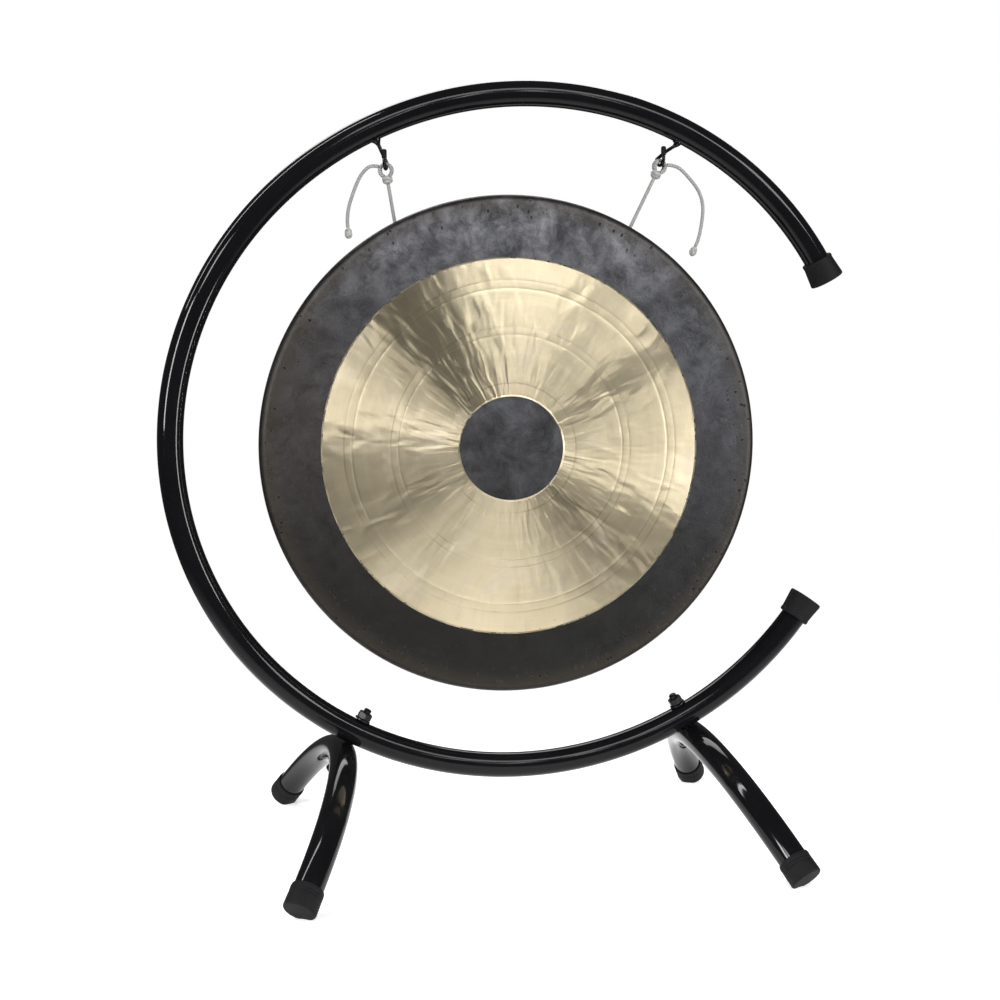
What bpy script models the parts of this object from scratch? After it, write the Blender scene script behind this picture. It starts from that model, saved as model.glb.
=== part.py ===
"""Tam tam gong hung in a C-shaped tubular stand.

Metres, +Z up, the gong's face towards -Y.  The origin lies on the floor, under the middle of the stand.
Every separate piece of the real object is one named object with its own material.
"""

import math

import bmesh
import bpy
from mathutils import Matrix, Vector

# ---------------------------------------------------------------- driving dimensions
# Fit between pieces that touch
GAP = 0.0003

# C ring: one bent steel tube, slightly out of round
RING_CENTRE = Vector((0.0162, 0.0, 0.4133))
RING_RADIUS = 0.3395
RING_OVAL = 0.0223
RING_TURN = math.radians(-0.7)
RING_OVAL_ANGLE = math.radians(14.6) + RING_TURN
RING_TUBE = 0.0125
RING_WALL = 0.0018
RING_UPPER_END = math.radians(26.6)
RING_LOWER_END = math.radians(-31.1)
RING_STATIONS = 72

# Rubber ferrules on the two free ends of the ring
RING_CAP_LENGTH = 0.0235
RING_CAP_MOUTH = 0.0155
RING_CAP_END = 0.0174
RING_CAP_FLOOR = 0.0030
RING_CAP_FIT = 0.0005

# Two arched legs, each bolted through its crown to the ring
BOLT_SPREAD = math.radians(30.0)
LEG_TUBE = 0.0140
LEG_WALL = 0.0018
LEG_BEND_RADIUS = 0.2266
LEG_BEND_ANGLE = math.radians(50.3)
LEG_END_STRAIGHT = 0.0250
LEG_BENDS = 9
LEG_CAP_LENGTH = 0.0230
LEG_CAP_RADIUS = 0.0158
LEG_CAP_FLOOR = 0.0027

# Rounding of every rubber cap's closed end
CAP_EDGE = 0.0012

# M8 bolt, nut and washers of each leg
BOLT_RADIUS = 0.0040
BOLT_HOLE = 0.0044
BOLT_HEAD_RADIUS = 0.0085
BOLT_HEAD_HEIGHT = 0.0046
BOLT_HEAD_DOME = ((1.0, 0.0), (0.85, 0.55), (0.45, 0.88), (0.10, 1.0), (0.0, 1.0))
BOLT_TIP = 0.0042
BOLT_CHAMFER = 0.0010
WASHER_RADIUS = 0.0080
WASHER_THICKNESS = 0.0016
NUT_WASHER_FIT = 0.0008
HEAD_WASHER_FIT = 0.0005
NUT_ACROSS_FLATS = 0.0130
NUT_HEIGHT = 0.0065
NUT_CHAMFER = 0.0008

# Two bent rods welded under the ring, with a sleeve on each free end
HOOK_SPREAD = math.radians(27.45)
HOOK_ROD = 0.00175
HOOK_BEND = 0.0065
HOOK_OPENING_TURN = math.radians(16.0)
HOOK_INSET = {"left": 0.0085, "right": 0.0170}
HOOK_DROP = {"left": 0.0268, "right": 0.0225}
HOOK_FREE_END = 0.0100
HOOK_WELD_RADIUS = 0.0042
HOOK_WELD_LENGTH = 0.0030
HOOK_STEM_KNEE = 0.55
SLEEVE_RADIUS = 0.0025
SLEEVE_LENGTH = 0.0085
SLEEVE_FLOOR = 0.0012
SLEEVE_CHAMFER = 0.0010

# Gong: one bronze dish with a domed face and a turned-back rim
GONG_CENTRE = Vector((0.0, 0.0003, 0.4020))
GONG_RADIUS = 0.2465
GONG_RIM_RADIUS = 0.2425
GONG_DEPTH = 0.0530
GONG_DOME = 0.0080
GONG_SHOULDER = 0.0090
GONG_FACE_WALL = 0.0017
GONG_RIM_WALL = 0.0028
GONG_TURN = math.radians(-3.0)
GONG_LEAN = math.radians(1.28)
HOLE_SPREAD = math.radians(28.15)
HOLE_ROLL = math.radians(-1.3)
HOLE_DEPTH = 0.0140
HOLE_RADIUS = 0.0035
HOLE_DRILL = 0.0080

# Braided cord and its knots
CORD = 0.0017
LOOP_RADIUS = 0.0060
LOOP_FIT = 0.0009
HOOK_KNOT_RADIUS = 0.0052
HOOK_KNOT_HEIGHT = 0.0084
HOOK_KNOT_DROP = 0.0105
STOPPER_RADIUS = 0.0045
STOPPER_DROP = 0.0072
TAIL_KNOT_RADIUS = 0.0038
TAIL_KNOT_HEIGHT = 0.0100
TAIL_POINTS = 17

# Hand-laid routes of the two loose cord tails, from the hook knot to the end knot
TAIL_ROUTES = {
    "left": [(-0.1261, -0.0007, 0.6743), (-0.1340, -0.0016, 0.6745), (-0.1414, -0.0021, 0.6686),
             (-0.1470, -0.0023, 0.6592), (-0.1520, -0.0022, 0.6467), (-0.1556, -0.0018, 0.6350),
             (-0.1570, -0.0013, 0.6240), (-0.1566, -0.0008, 0.6160)],
    "right": [(0.1599, -0.0008, 0.6787), (0.1680, -0.0016, 0.6774), (0.1750, -0.0022, 0.6731),
              (0.1857, -0.0028, 0.6617), (0.1927, -0.0030, 0.6512), (0.1961, -0.0030, 0.6382),
              (0.1953, -0.0026, 0.6233), (0.1925, -0.0020, 0.6080), (0.1890, -0.0016, 0.5990)],
}

SIDES = {"left": -1, "right": 1}
Y_AXIS = Vector((0.0, 1.0, 0.0))
Z_AXIS = Vector((0.0, 0.0, 1.0))


# ---------------------------------------------------------------- scene and materials
def clear_scene():
    for item in list(bpy.data.objects):
        bpy.data.objects.remove(item, do_unlink=True)


def material(name, colour, roughness, metallic=0.0):
    finish = bpy.data.materials.new(name)
    finish.use_nodes = True
    shader = finish.node_tree.nodes["Principled BSDF"]
    shader.inputs["Base Color"].default_value = (*colour, 1.0)
    shader.inputs["Roughness"].default_value = roughness
    shader.inputs["Metallic"].default_value = metallic
    return finish


def black_enamel(name):
    return material(name, (0.012, 0.012, 0.014), 0.12)


def black_rubber(name):
    return material(name, (0.020, 0.020, 0.021), 0.75)


def black_steel(name):
    return material(name, (0.030, 0.030, 0.032), 0.35, 0.8)


def braided_cord(name):
    return material(name, (0.45, 0.44, 0.40), 0.9)


def bronze(name):
    return material(name, (0.55, 0.44, 0.24), 0.3, 1.0)


# ---------------------------------------------------------------- frames along a path
def frame(point, normal, binormal):
    """A station on a path: its point and the two axes across the path."""
    return point, normal.normalized(), binormal.normalized()


def straight(origin, direction, across):
    """Frames along a straight line, by distance from its origin."""
    direction = direction.normalized()
    normal = (across - direction * across.dot(direction)).normalized()
    binormal = direction.cross(normal)
    return lambda distance: frame(origin + direction * distance, normal, binormal)


def ring_reach(angle):
    """Distance from the ring's centre to the tube's centreline."""
    return RING_RADIUS * (1.0 + RING_OVAL * math.cos(2.0 * (angle - RING_OVAL_ANGLE)))


def ring_outward(angle):
    return Vector((math.cos(angle), 0.0, math.sin(angle)))


def ring_point(angle):
    return RING_CENTRE + ring_outward(angle) * ring_reach(angle)


def ring_frame(angle):
    """Frame of the ring's centreline at an angle about the ring's centre."""
    step = math.radians(0.05)
    tangent = ring_point(angle + step) - ring_point(angle - step)
    return frame(ring_point(angle), tangent.cross(Y_AXIS), Y_AXIS)


def bolt_angle(side):
    return math.radians(-90.0) + RING_TURN + SIDES[side] * BOLT_SPREAD


def bolt_outward(side):
    """Direction of a leg's bolt, away from the ring's centre."""
    return ring_outward(bolt_angle(side))


def leg_crown(side):
    """Point of a leg's centreline under the ring, on the bolt's axis."""
    return ring_point(bolt_angle(side)) + bolt_outward(side) * (RING_TUBE + GAP + LEG_TUBE)


def leg_frame(side, distance):
    """Frame of a leg's centreline at a distance along the tube from its crown."""
    down = bolt_outward(side)
    along = abs(distance)
    sign = math.copysign(1.0, distance)
    bend_length = LEG_BEND_RADIUS * LEG_BEND_ANGLE
    turn = min(along / LEG_BEND_RADIUS, LEG_BEND_ANGLE)
    rest = max(0.0, along - bend_length)
    out = LEG_BEND_RADIUS * math.sin(turn) + rest * math.cos(turn)
    drop = LEG_BEND_RADIUS * (1.0 - math.cos(turn)) + rest * math.sin(turn)
    point = leg_crown(side) + Y_AXIS * (sign * out) + down * drop
    tangent = Y_AXIS * math.cos(turn) + down * (sign * math.sin(turn))
    across = tangent.cross(down.cross(Y_AXIS))
    return frame(point, across, down.cross(Y_AXIS))


def smooth_route(points, count):
    """Evenly spread points on a smooth curve through the route's own points."""
    padded = [points[0] * 2.0 - points[1], *points, points[-1] * 2.0 - points[-2]]
    fine = []
    pieces = 24
    for index in range(1, len(padded) - 2):
        before, start, end, after = padded[index - 1:index + 3]
        for piece in range(pieces):
            t = piece / pieces
            fine.append(0.5 * (2.0 * start + (end - before) * t
                               + (2.0 * before - 5.0 * start + 4.0 * end - after) * t * t
                               + (3.0 * start - before - 3.0 * end + after) * t ** 3))
    fine.append(points[-1])
    lengths = [0.0]
    for first, second in zip(fine, fine[1:]):
        lengths.append(lengths[-1] + (second - first).length)
    spread = []
    cursor = 0
    for number in range(count):
        target = lengths[-1] * number / (count - 1)
        while cursor < len(lengths) - 2 and lengths[cursor + 1] < target:
            cursor += 1
        share = (target - lengths[cursor]) / (lengths[cursor + 1] - lengths[cursor])
        spread.append(fine[cursor].lerp(fine[cursor + 1], share))
    return spread


def route_frames(points, across):
    """Frames along a route of points, carried along it without twisting."""
    frames = []
    normal = across
    for index, point in enumerate(points):
        before = points[max(index - 1, 0)]
        after = points[min(index + 1, len(points) - 1)]
        tangent = (after - before).normalized()
        normal = (normal - tangent * normal.dot(tangent)).normalized()
        frames.append(frame(point, normal, tangent.cross(normal)))
    return frames


# ---------------------------------------------------------------- solids
def add_object(name, mesh, finish, origin=Vector()):
    """An object whose mesh is given in world places and whose origin lies on its joint's axis."""
    mesh.transform(Matrix.Translation(-origin))
    mesh.materials.append(finish)
    mesh.shade_smooth()
    mesh.set_sharp_from_angle(angle=math.radians(35.0))
    item = bpy.data.objects.new(name, mesh)
    item.location = origin
    bpy.context.scene.collection.objects.link(item)
    return item


def skin_mesh(name, stations, sides, closed=False):
    """Closed mesh through round sections; a section of no radius is a pole."""
    shape = bmesh.new()
    rows = []
    for (point, normal, binormal), radius in stations:
        if radius == 0.0:
            rows.append([shape.verts.new(point)])
            continue
        row = []
        for number in range(sides):
            angle = 2.0 * math.pi * number / sides
            row.append(shape.verts.new(point + (normal * math.cos(angle) + binormal * math.sin(angle)) * radius))
        rows.append(row)
    pairs = list(zip(rows, rows[1:]))
    if closed:
        pairs.append((rows[-1], rows[0]))
    for first, second in pairs:
        for number in range(sides):
            following = (number + 1) % sides
            corners = [first[number % len(first)], first[following % len(first)],
                       second[following % len(second)], second[number % len(second)]]
            shape.faces.new(list(dict.fromkeys(corners)))
    bmesh.ops.recalc_face_normals(shape, faces=shape.faces)
    mesh = bpy.data.meshes.new(name)
    shape.to_mesh(mesh)
    shape.free()
    return mesh


def cord_object(name, points, radius, finish, origin=Vector()):
    """A round cord: a bevelled curve on straight pieces, with filled ends."""
    curve = bpy.data.curves.new(name, "CURVE")
    curve.dimensions = "3D"
    curve.bevel_depth = radius
    curve.bevel_resolution = 2
    curve.use_fill_caps = True
    spline = curve.splines.new("POLY")
    spline.points.add(len(points) - 1)
    for knot, point in zip(spline.points, points):
        knot.co = (*(point - origin), 1.0)
    curve.materials.append(finish)
    item = bpy.data.objects.new(name, curve)
    item.location = origin
    bpy.context.scene.collection.objects.link(item)
    return item


def cut(item, cutter, operation="DIFFERENCE"):
    """Cut or join one object with a guide that is not itself a piece."""
    cutter.hide_render = True
    cutter.display_type = "WIRE"
    step = item.modifiers.new(cutter.name, "BOOLEAN")
    step.operation = operation
    step.solver = "EXACT"
    step.object = cutter


def rod_guide(name, origin, direction, start, end, radius, sides=20):
    """A plain round cutter along a line."""
    line = straight(origin, direction, Y_AXIS)
    stations = [(line(start), 0.0), (line(start), radius), (line(end), radius), (line(end), 0.0)]
    return add_object(name, skin_mesh(name, stations, sides), GUIDE)


# ---------------------------------------------------------------- ring
def make_ring():
    inner = RING_TUBE - RING_WALL
    span = math.radians(360.0) + RING_LOWER_END - RING_UPPER_END
    angles = [RING_UPPER_END + span * number / RING_STATIONS for number in range(RING_STATIONS + 1)]
    outside = [(ring_frame(angle), RING_TUBE) for angle in angles]
    inside = [(ring_frame(angle), inner) for angle in reversed(angles)]
    mesh = skin_mesh("ring_tube", outside + inside, 14, closed=True)
    ring = add_object("ring_tube", mesh, black_enamel("ring_enamel"))
    for side in SIDES:
        drill = rod_guide(f"{side}_ring_drill", ring_point(bolt_angle(side)), bolt_outward(side),
                          -2.0 * RING_TUBE, 2.0 * RING_TUBE, BOLT_HOLE)
        cut(ring, drill)


def make_ring_cap(name, angle, turn):
    """Ferrule over a free end of the ring; turn is the sense in which the tube ends."""
    cover = RING_CAP_LENGTH - RING_CAP_FLOOR - GAP
    middle = angle - turn * 0.5 * cover / ring_reach(angle)
    point, normal, _ = ring_frame(middle)
    line = straight(point, Y_AXIS.cross(normal) * turn, normal)
    mouth = -0.5 * cover
    tube_end = 0.5 * cover + 3.0 * GAP
    end = tube_end + RING_CAP_FLOOR
    bore = RING_TUBE + RING_CAP_FIT
    stations = [
        (line(end), 0.0),
        (line(end), RING_CAP_END - CAP_EDGE),
        (line(end - CAP_EDGE), RING_CAP_END),
        (line(mouth), RING_CAP_MOUTH),
        (line(mouth), bore),
        (line(tube_end), bore),
        (line(tube_end), 0.0),
    ]
    add_object(name, skin_mesh(name, stations, 24), black_rubber(f"{name}_rubber"))


# ---------------------------------------------------------------- legs
def make_leg(side, pivot):
    """One arched leg tube, drilled through its crown for the bolt."""
    name = f"{side}_leg_tube"
    reach = LEG_BEND_RADIUS * LEG_BEND_ANGLE + LEG_END_STRAIGHT
    bend = LEG_BEND_RADIUS * LEG_BEND_ANGLE
    bends = [bend * number / LEG_BENDS for number in range(-LEG_BENDS, LEG_BENDS + 1)]
    places = [-reach, *bends, reach]
    outside = [(leg_frame(side, place), LEG_TUBE) for place in places]
    inside = [(leg_frame(side, place), LEG_TUBE - LEG_WALL) for place in reversed(places)]
    mesh = skin_mesh(name, outside + inside, 14, closed=True)
    leg = add_object(name, mesh, black_enamel(f"{side}_leg_enamel"), pivot)
    drill = rod_guide(f"{side}_leg_drill", leg_crown(side), bolt_outward(side),
                      -2.0 * LEG_TUBE, 2.0 * LEG_TUBE, BOLT_HOLE)
    cut(leg, drill)


def make_foot_cap(side, place, sign, floor_cutter, pivot):
    """Rubber cup over a leg's end, worn flat where it stands on the floor."""
    name = f"{side}_{place}_foot_cap"
    reach = LEG_BEND_RADIUS * LEG_BEND_ANGLE + LEG_END_STRAIGHT
    point, across, _ = leg_frame(side, sign * reach)
    inboard = leg_frame(side, sign * (reach - LEG_END_STRAIGHT))[0]
    line = straight(point, point - inboard, across)
    end = GAP + LEG_CAP_FLOOR
    mouth = end - LEG_CAP_LENGTH
    bore = LEG_TUBE + GAP
    stations = [
        (line(end), 0.0),
        (line(end), LEG_CAP_RADIUS - CAP_EDGE),
        (line(end - CAP_EDGE), LEG_CAP_RADIUS),
        (line(mouth), bore + CAP_EDGE),
        (line(mouth), bore),
        (line(GAP), bore),
        (line(GAP), 0.0),
    ]
    cap = add_object(name, skin_mesh(name, stations, 24), black_rubber(f"{name}_rubber"), pivot)
    cut(cap, floor_cutter)


def make_floor_cutter():
    """Everything under the floor, which trims the feet flat."""
    shape = bmesh.new()
    bmesh.ops.create_cube(shape, size=1.0)
    bmesh.ops.translate(shape, verts=shape.verts, vec=(0.0, 0.0, -0.5))
    mesh = bpy.data.meshes.new("floor_cutter")
    shape.to_mesh(mesh)
    shape.free()
    return add_object("floor_cutter", mesh, GUIDE)


def make_nut(name, origin, direction, start):
    """A hexagonal nut, drilled for its bolt."""
    line = straight(origin, direction, Y_AXIS)
    corner = NUT_ACROSS_FLATS / math.sqrt(3.0)
    end = start + NUT_HEIGHT
    stations = [
        (line(start), 0.0),
        (line(start), corner - NUT_CHAMFER),
        (line(start + NUT_CHAMFER), corner),
        (line(end - NUT_CHAMFER), corner),
        (line(end), corner - NUT_CHAMFER),
        (line(end), 0.0),
    ]
    nut = add_object(name, skin_mesh(name, stations, 6), black_steel(f"{name}_steel"))
    cut(nut, rod_guide(f"{name}_drill", origin, direction, start - NUT_HEIGHT, end + NUT_HEIGHT, BOLT_HOLE, 16))


def make_washer(name, origin, direction, start):
    line = straight(origin, direction, Y_AXIS)
    end = start + WASHER_THICKNESS
    stations = [(line(start), BOLT_HOLE), (line(start), WASHER_RADIUS),
                (line(end), WASHER_RADIUS), (line(end), BOLT_HOLE)]
    add_object(name, skin_mesh(name, stations, 24, closed=True), black_steel(f"{name}_steel"))


def make_fasteners(side):
    """Bolt from under the leg's crown through both tubes, with its washers and nut."""
    centre = ring_point(bolt_angle(side))
    inward = -bolt_outward(side)
    line = straight(centre, inward, Y_AXIS)
    washer_start = RING_TUBE + NUT_WASHER_FIT
    nut_start = washer_start + WASHER_THICKNESS + GAP
    tip = nut_start + NUT_HEIGHT + BOLT_TIP
    under_leg = -(RING_TUBE + GAP + 2.0 * LEG_TUBE + HEAD_WASHER_FIT)
    head = under_leg - WASHER_THICKNESS - GAP
    make_washer(f"{side}_nut_washer", centre, inward, washer_start)
    make_washer(f"{side}_head_washer", centre, inward, under_leg - WASHER_THICKNESS)
    make_nut(f"{side}_leg_nut", centre, inward, nut_start)
    stations = [(line(head - height * BOLT_HEAD_HEIGHT), width * BOLT_HEAD_RADIUS)
                for height, width in BOLT_HEAD_DOME]
    stations += [
        (line(head), BOLT_RADIUS),
        (line(tip - BOLT_CHAMFER), BOLT_RADIUS),
        (line(tip), BOLT_RADIUS - BOLT_CHAMFER),
        (line(tip), 0.0),
    ]
    add_object(f"{side}_leg_bolt", skin_mesh(f"{side}_leg_bolt", stations, 16), black_steel(f"{side}_bolt_steel"))


# ---------------------------------------------------------------- hooks
def hook_angle(side):
    return math.radians(90.0) + RING_TURN - SIDES[side] * HOOK_SPREAD


def hook_root(side):
    """Where the hook's rod meets the underside of the ring."""
    angle = hook_angle(side)
    return ring_point(angle) - ring_outward(angle) * RING_TUBE


def hook_seat(side):
    """Lowest point of the rod's centreline, where the cord's loop hangs."""
    inset = Vector((-SIDES[side] * HOOK_INSET[side], 0.0, -HOOK_DROP[side]))
    return hook_root(side) + inset


def hook_bight(side):
    """Centre of the hook's bend, which the cord's loop slides round as the gong swings."""
    return hook_seat(side) + Z_AXIS * HOOK_BEND


def hook_opening(side):
    """Horizontal direction from the hook's rod to its free end."""
    return Vector((SIDES[side] * math.sin(HOOK_OPENING_TURN), -math.cos(HOOK_OPENING_TURN), 0.0))


def hook_arm_top(side):
    return hook_bight(side) + hook_opening(side) * HOOK_BEND


def hook_route(side):
    """Rod from the weld down to the bight and up its free arm."""
    root = hook_root(side)
    opening = hook_opening(side)
    stem = hook_bight(side) - opening * HOOK_BEND
    inward = -ring_outward(hook_angle(side))
    stem_points = [root - inward * HOOK_ROD, root + inward * HOOK_WELD_LENGTH,
                   root.lerp(stem, HOOK_STEM_KNEE), stem]
    route = smooth_route(stem_points, 8)[:-1]
    for number in range(9):
        angle = math.pi * number / 8
        outward = opening * -math.cos(angle) - Z_AXIS * math.sin(angle)
        route.append(hook_bight(side) + outward * HOOK_BEND)
    route.append(hook_arm_top(side) + Z_AXIS * HOOK_FREE_END)
    return route


def make_hook(side):
    name = f"{side}_hook"
    route = hook_route(side)
    frames = route_frames(route, Y_AXIS)
    stations = [(frames[0], 0.0)]
    for index, station in enumerate(frames):
        flare = max(0.0, 1.0 - index / 2.0) ** 2
        stations.append((station, HOOK_ROD + (HOOK_WELD_RADIUS - HOOK_ROD) * flare))
    stations.append((frames[-1], 0.0))
    hook = add_object(name, skin_mesh(name, stations, 10), black_enamel(f"{side}_hook_enamel"))
    angle = hook_angle(side)
    near = [angle + math.radians(step) for step in (-3.0, -1.5, 0.0, 1.5, 3.0)]
    clearance = [(ring_frame(near[0]), 0.0)]
    clearance += [(ring_frame(place), RING_TUBE + 2.0 * GAP) for place in near]
    clearance.append((ring_frame(near[-1]), 0.0))
    guide = add_object(f"{side}_weld_guide", skin_mesh(f"{side}_weld_guide", clearance, 42), GUIDE)
    cut(hook, guide)
    make_hook_sleeve(side)


def make_hook_sleeve(side):
    """Soft tube pushed over the hook's free end."""
    name = f"{side}_hook_sleeve"
    line = straight(hook_arm_top(side), Z_AXIS, Y_AXIS)
    top = HOOK_FREE_END + GAP + SLEEVE_FLOOR
    start = top - SLEEVE_LENGTH
    bore = HOOK_ROD + GAP
    stations = [
        (line(top), 0.0),
        (line(top), SLEEVE_RADIUS - SLEEVE_CHAMFER),
        (line(top - SLEEVE_CHAMFER), SLEEVE_RADIUS),
        (line(start), SLEEVE_RADIUS),
        (line(start), bore),
        (line(HOOK_FREE_END + GAP), bore),
        (line(HOOK_FREE_END + GAP), 0.0),
    ]
    add_object(name, skin_mesh(name, stations, 12), black_rubber(f"{name}_vinyl"))


# ---------------------------------------------------------------- gong
def gong_matrix():
    """Gong's own axes in the world: x to its right, y into its back, z up."""
    turn = Matrix.Rotation(GONG_TURN, 4, "Z")
    lean = Matrix.Rotation(GONG_LEAN, 4, "X")
    hang_height = hole_local("left").z
    pivot = Vector((0.0, 0.0, hang_height))
    place = Matrix.Translation(GONG_CENTRE + pivot)
    return place @ turn @ lean @ Matrix.Translation(-pivot)


def hole_local(side):
    """Middle of a hanging hole in the gong's own axes, whose y is nought at the holes."""
    angle = math.radians(90.0) - SIDES[side] * HOLE_SPREAD
    reach = rim_reach(HOLE_DEPTH) - 0.5 * GONG_RIM_WALL
    return Vector((reach * math.cos(angle), 0.0, reach * math.sin(angle)))


def rim_reach(depth):
    """Outer radius of the turned-back rim at a depth behind the shoulder."""
    share = (depth - GONG_SHOULDER) / (GONG_DEPTH - GONG_SHOULDER)
    return GONG_RADIUS + (GONG_RIM_RADIUS - GONG_RADIUS) * share


def hole_outward(side):
    """Outward direction of a hanging hole in the world."""
    turn = Matrix.Rotation(HOLE_ROLL, 3, "Y")
    local = hole_local(side)
    return gong_matrix().to_3x3() @ (turn.inverted() @ local).normalized()


def hole_point(side):
    turn = Matrix.Rotation(HOLE_ROLL, 3, "Y")
    return gong_matrix() @ (turn.inverted() @ hole_local(side))


def gong_profile():
    """Depth and radius of the dish's section, from the face's middle round the rim to its back."""
    flat = GONG_RADIUS - GONG_SHOULDER
    outside = []
    for share in (0.0, 0.2, 0.4, 0.6, 0.75, 0.9):
        outside.append((-GONG_DOME * (1.0 - share ** 2), flat * share))
    for number in range(6):
        angle = math.radians(90.0) * number / 5
        outside.append((GONG_SHOULDER * (1.0 - math.cos(angle)), flat + GONG_SHOULDER * math.sin(angle)))
    outside.append((0.5 * GONG_DEPTH, rim_reach(0.5 * GONG_DEPTH)))
    outside.append((GONG_DEPTH - 0.5 * GONG_RIM_WALL, rim_reach(GONG_DEPTH)))
    outside.append((GONG_DEPTH, rim_reach(GONG_DEPTH) - 0.4 * GONG_RIM_WALL))
    inside = [(GONG_DEPTH - 0.5 * GONG_RIM_WALL, rim_reach(GONG_DEPTH) - GONG_RIM_WALL)]
    inside.append((0.5 * GONG_DEPTH, rim_reach(0.5 * GONG_DEPTH) - GONG_RIM_WALL))
    bend = GONG_SHOULDER - GONG_RIM_WALL
    for number in range(4):
        angle = math.radians(90.0) * (1.0 - number / 4)
        inside.append((GONG_SHOULDER - bend * math.cos(angle), flat + bend * math.sin(angle)))
    for share in (0.95, 0.75, 0.5, 0.25, 0.0):
        inside.append((GONG_FACE_WALL - GONG_DOME * (1.0 - share ** 2), flat * share))
    return outside + inside


def make_gong():
    centre = straight(Vector((0.0, -HOLE_DEPTH, 0.0)), Y_AXIS, Z_AXIS)
    stations = [(centre(depth), radius) for depth, radius in gong_profile()]
    mesh = skin_mesh("gong_disc", stations, 72)
    mesh.transform(gong_matrix())
    pivot = hole_point("left").lerp(hole_point("right"), 0.5)
    gong = add_object("gong_disc", mesh, bronze("gong_bronze"), pivot)
    for side in SIDES:
        drill = rod_guide(f"{side}_gong_drill", hole_point(side), hole_outward(side),
                          -HOLE_DRILL, HOLE_DRILL, HOLE_RADIUS, 16)
        cut(gong, drill)


# ---------------------------------------------------------------- cords
def cord_direction(side):
    """From the hook's seat to the gong's hanging hole."""
    return (hole_point(side) - hook_seat(side)).normalized()


def make_hook_knot(side, pivot):
    """Loop through the hook, drawn shut by a knot under it."""
    name = f"{side}_hook_knot"
    seat = hook_seat(side)
    down = cord_direction(side)
    thread = hook_opening(side)
    across = down.cross(thread).normalized()
    thread = across.cross(down)
    centre = seat + down * (LOOP_RADIUS - CORD - HOOK_ROD - LOOP_FIT)
    loop = []
    for number in range(16):
        angle = 2.0 * math.pi * number / 16
        outward = across * math.cos(angle) + down * math.sin(angle)
        loop.append((frame(centre + outward * LOOP_RADIUS, outward, thread), CORD))
    item = add_object(name, skin_mesh(name, loop, 8, closed=True), braided_cord(f"{side}_hook_knot_cord"), pivot)
    core = ball_mesh(f"{side}_hook_knot_core", seat + down * HOOK_KNOT_DROP, down,
                     HOOK_KNOT_RADIUS, 0.5 * HOOK_KNOT_HEIGHT)
    cut(item, add_object(f"{side}_hook_knot_core", core, GUIDE), "UNION")


def ball_mesh(name, centre, direction, radius, half_height, sides=12):
    """A round knot, longer or shorter along its cord."""
    line = straight(centre, direction, Y_AXIS)
    stations = []
    rows = 7
    for number in range(rows + 1):
        angle = math.pi * number / rows
        width = radius * math.sin(angle) if 0 < number < rows else 0.0
        stations.append((line(-half_height * math.cos(angle)), width))
    return skin_mesh(name, stations, sides)


def make_hanging_cord(side, pivot):
    """Taut cord from the hook's knot through the gong's hole to its stopper knot."""
    seat = hook_seat(side)
    down = cord_direction(side)
    hole = hole_point(side)
    start = seat + down * (HOOK_KNOT_DROP + 0.5 * HOOK_KNOT_HEIGHT + GAP)
    stopper = hole + down * STOPPER_DROP
    end = stopper - down * (STOPPER_RADIUS + GAP)
    points = [start.lerp(end, number / 6) for number in range(7)]
    cord_object(f"{side}_hanging_cord", points, CORD, braided_cord(f"{side}_hanging_cord_braid"), pivot)
    knot = ball_mesh(f"{side}_stopper_knot", stopper, down, STOPPER_RADIUS, STOPPER_RADIUS)
    add_object(f"{side}_stopper_knot", knot, braided_cord(f"{side}_stopper_knot_braid"), pivot)


def make_tail(side, pivot):
    """Loose end of the cord beside the hook, with a knot tied in its end."""
    route = [Vector(point) for point in TAIL_ROUTES[side]]
    points = smooth_route(route, TAIL_POINTS)
    cord_object(f"{side}_cord_tail", points, CORD, braided_cord(f"{side}_tail_braid"), pivot)
    direction = (points[-1] - points[-2]).normalized()
    centre = points[-1] + direction * (GAP + 0.5 * TAIL_KNOT_HEIGHT)
    knot = ball_mesh(f"{side}_tail_knot", centre, direction, TAIL_KNOT_RADIUS, 0.5 * TAIL_KNOT_HEIGHT, 10)
    add_object(f"{side}_tail_knot", knot, braided_cord(f"{side}_tail_knot_braid"), pivot)


# ---------------------------------------------------------------- assembly
clear_scene()
GUIDE = material("guide", (1.0, 0.2, 0.2), 0.5)

make_ring()
make_ring_cap("ring_end_cap_upper", RING_UPPER_END, -1.0)
make_ring_cap("ring_end_cap_lower", RING_LOWER_END, 1.0)
FLOOR_CUTTER = make_floor_cutter()
CORD_PIVOT = hook_bight("left").lerp(hook_bight("right"), 0.5)
for SIDE in SIDES:
    make_leg(SIDE, leg_crown(SIDE))
    make_foot_cap(SIDE, "front", -1.0, FLOOR_CUTTER, leg_crown(SIDE))
    make_foot_cap(SIDE, "rear", 1.0, FLOOR_CUTTER, leg_crown(SIDE))
    make_fasteners(SIDE)
    make_hook(SIDE)
    make_hook_knot(SIDE, CORD_PIVOT)
    make_hanging_cord(SIDE, CORD_PIVOT)
    make_tail(SIDE, CORD_PIVOT)
make_gong()
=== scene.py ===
"""Looks of the tam tam gong hung in its C-shaped stand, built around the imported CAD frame.

Metres, +Z up.  The gong's face looks towards -Y.
"""

import math

import bmesh
import bpy
from mathutils import Matrix, Vector, noise


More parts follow.
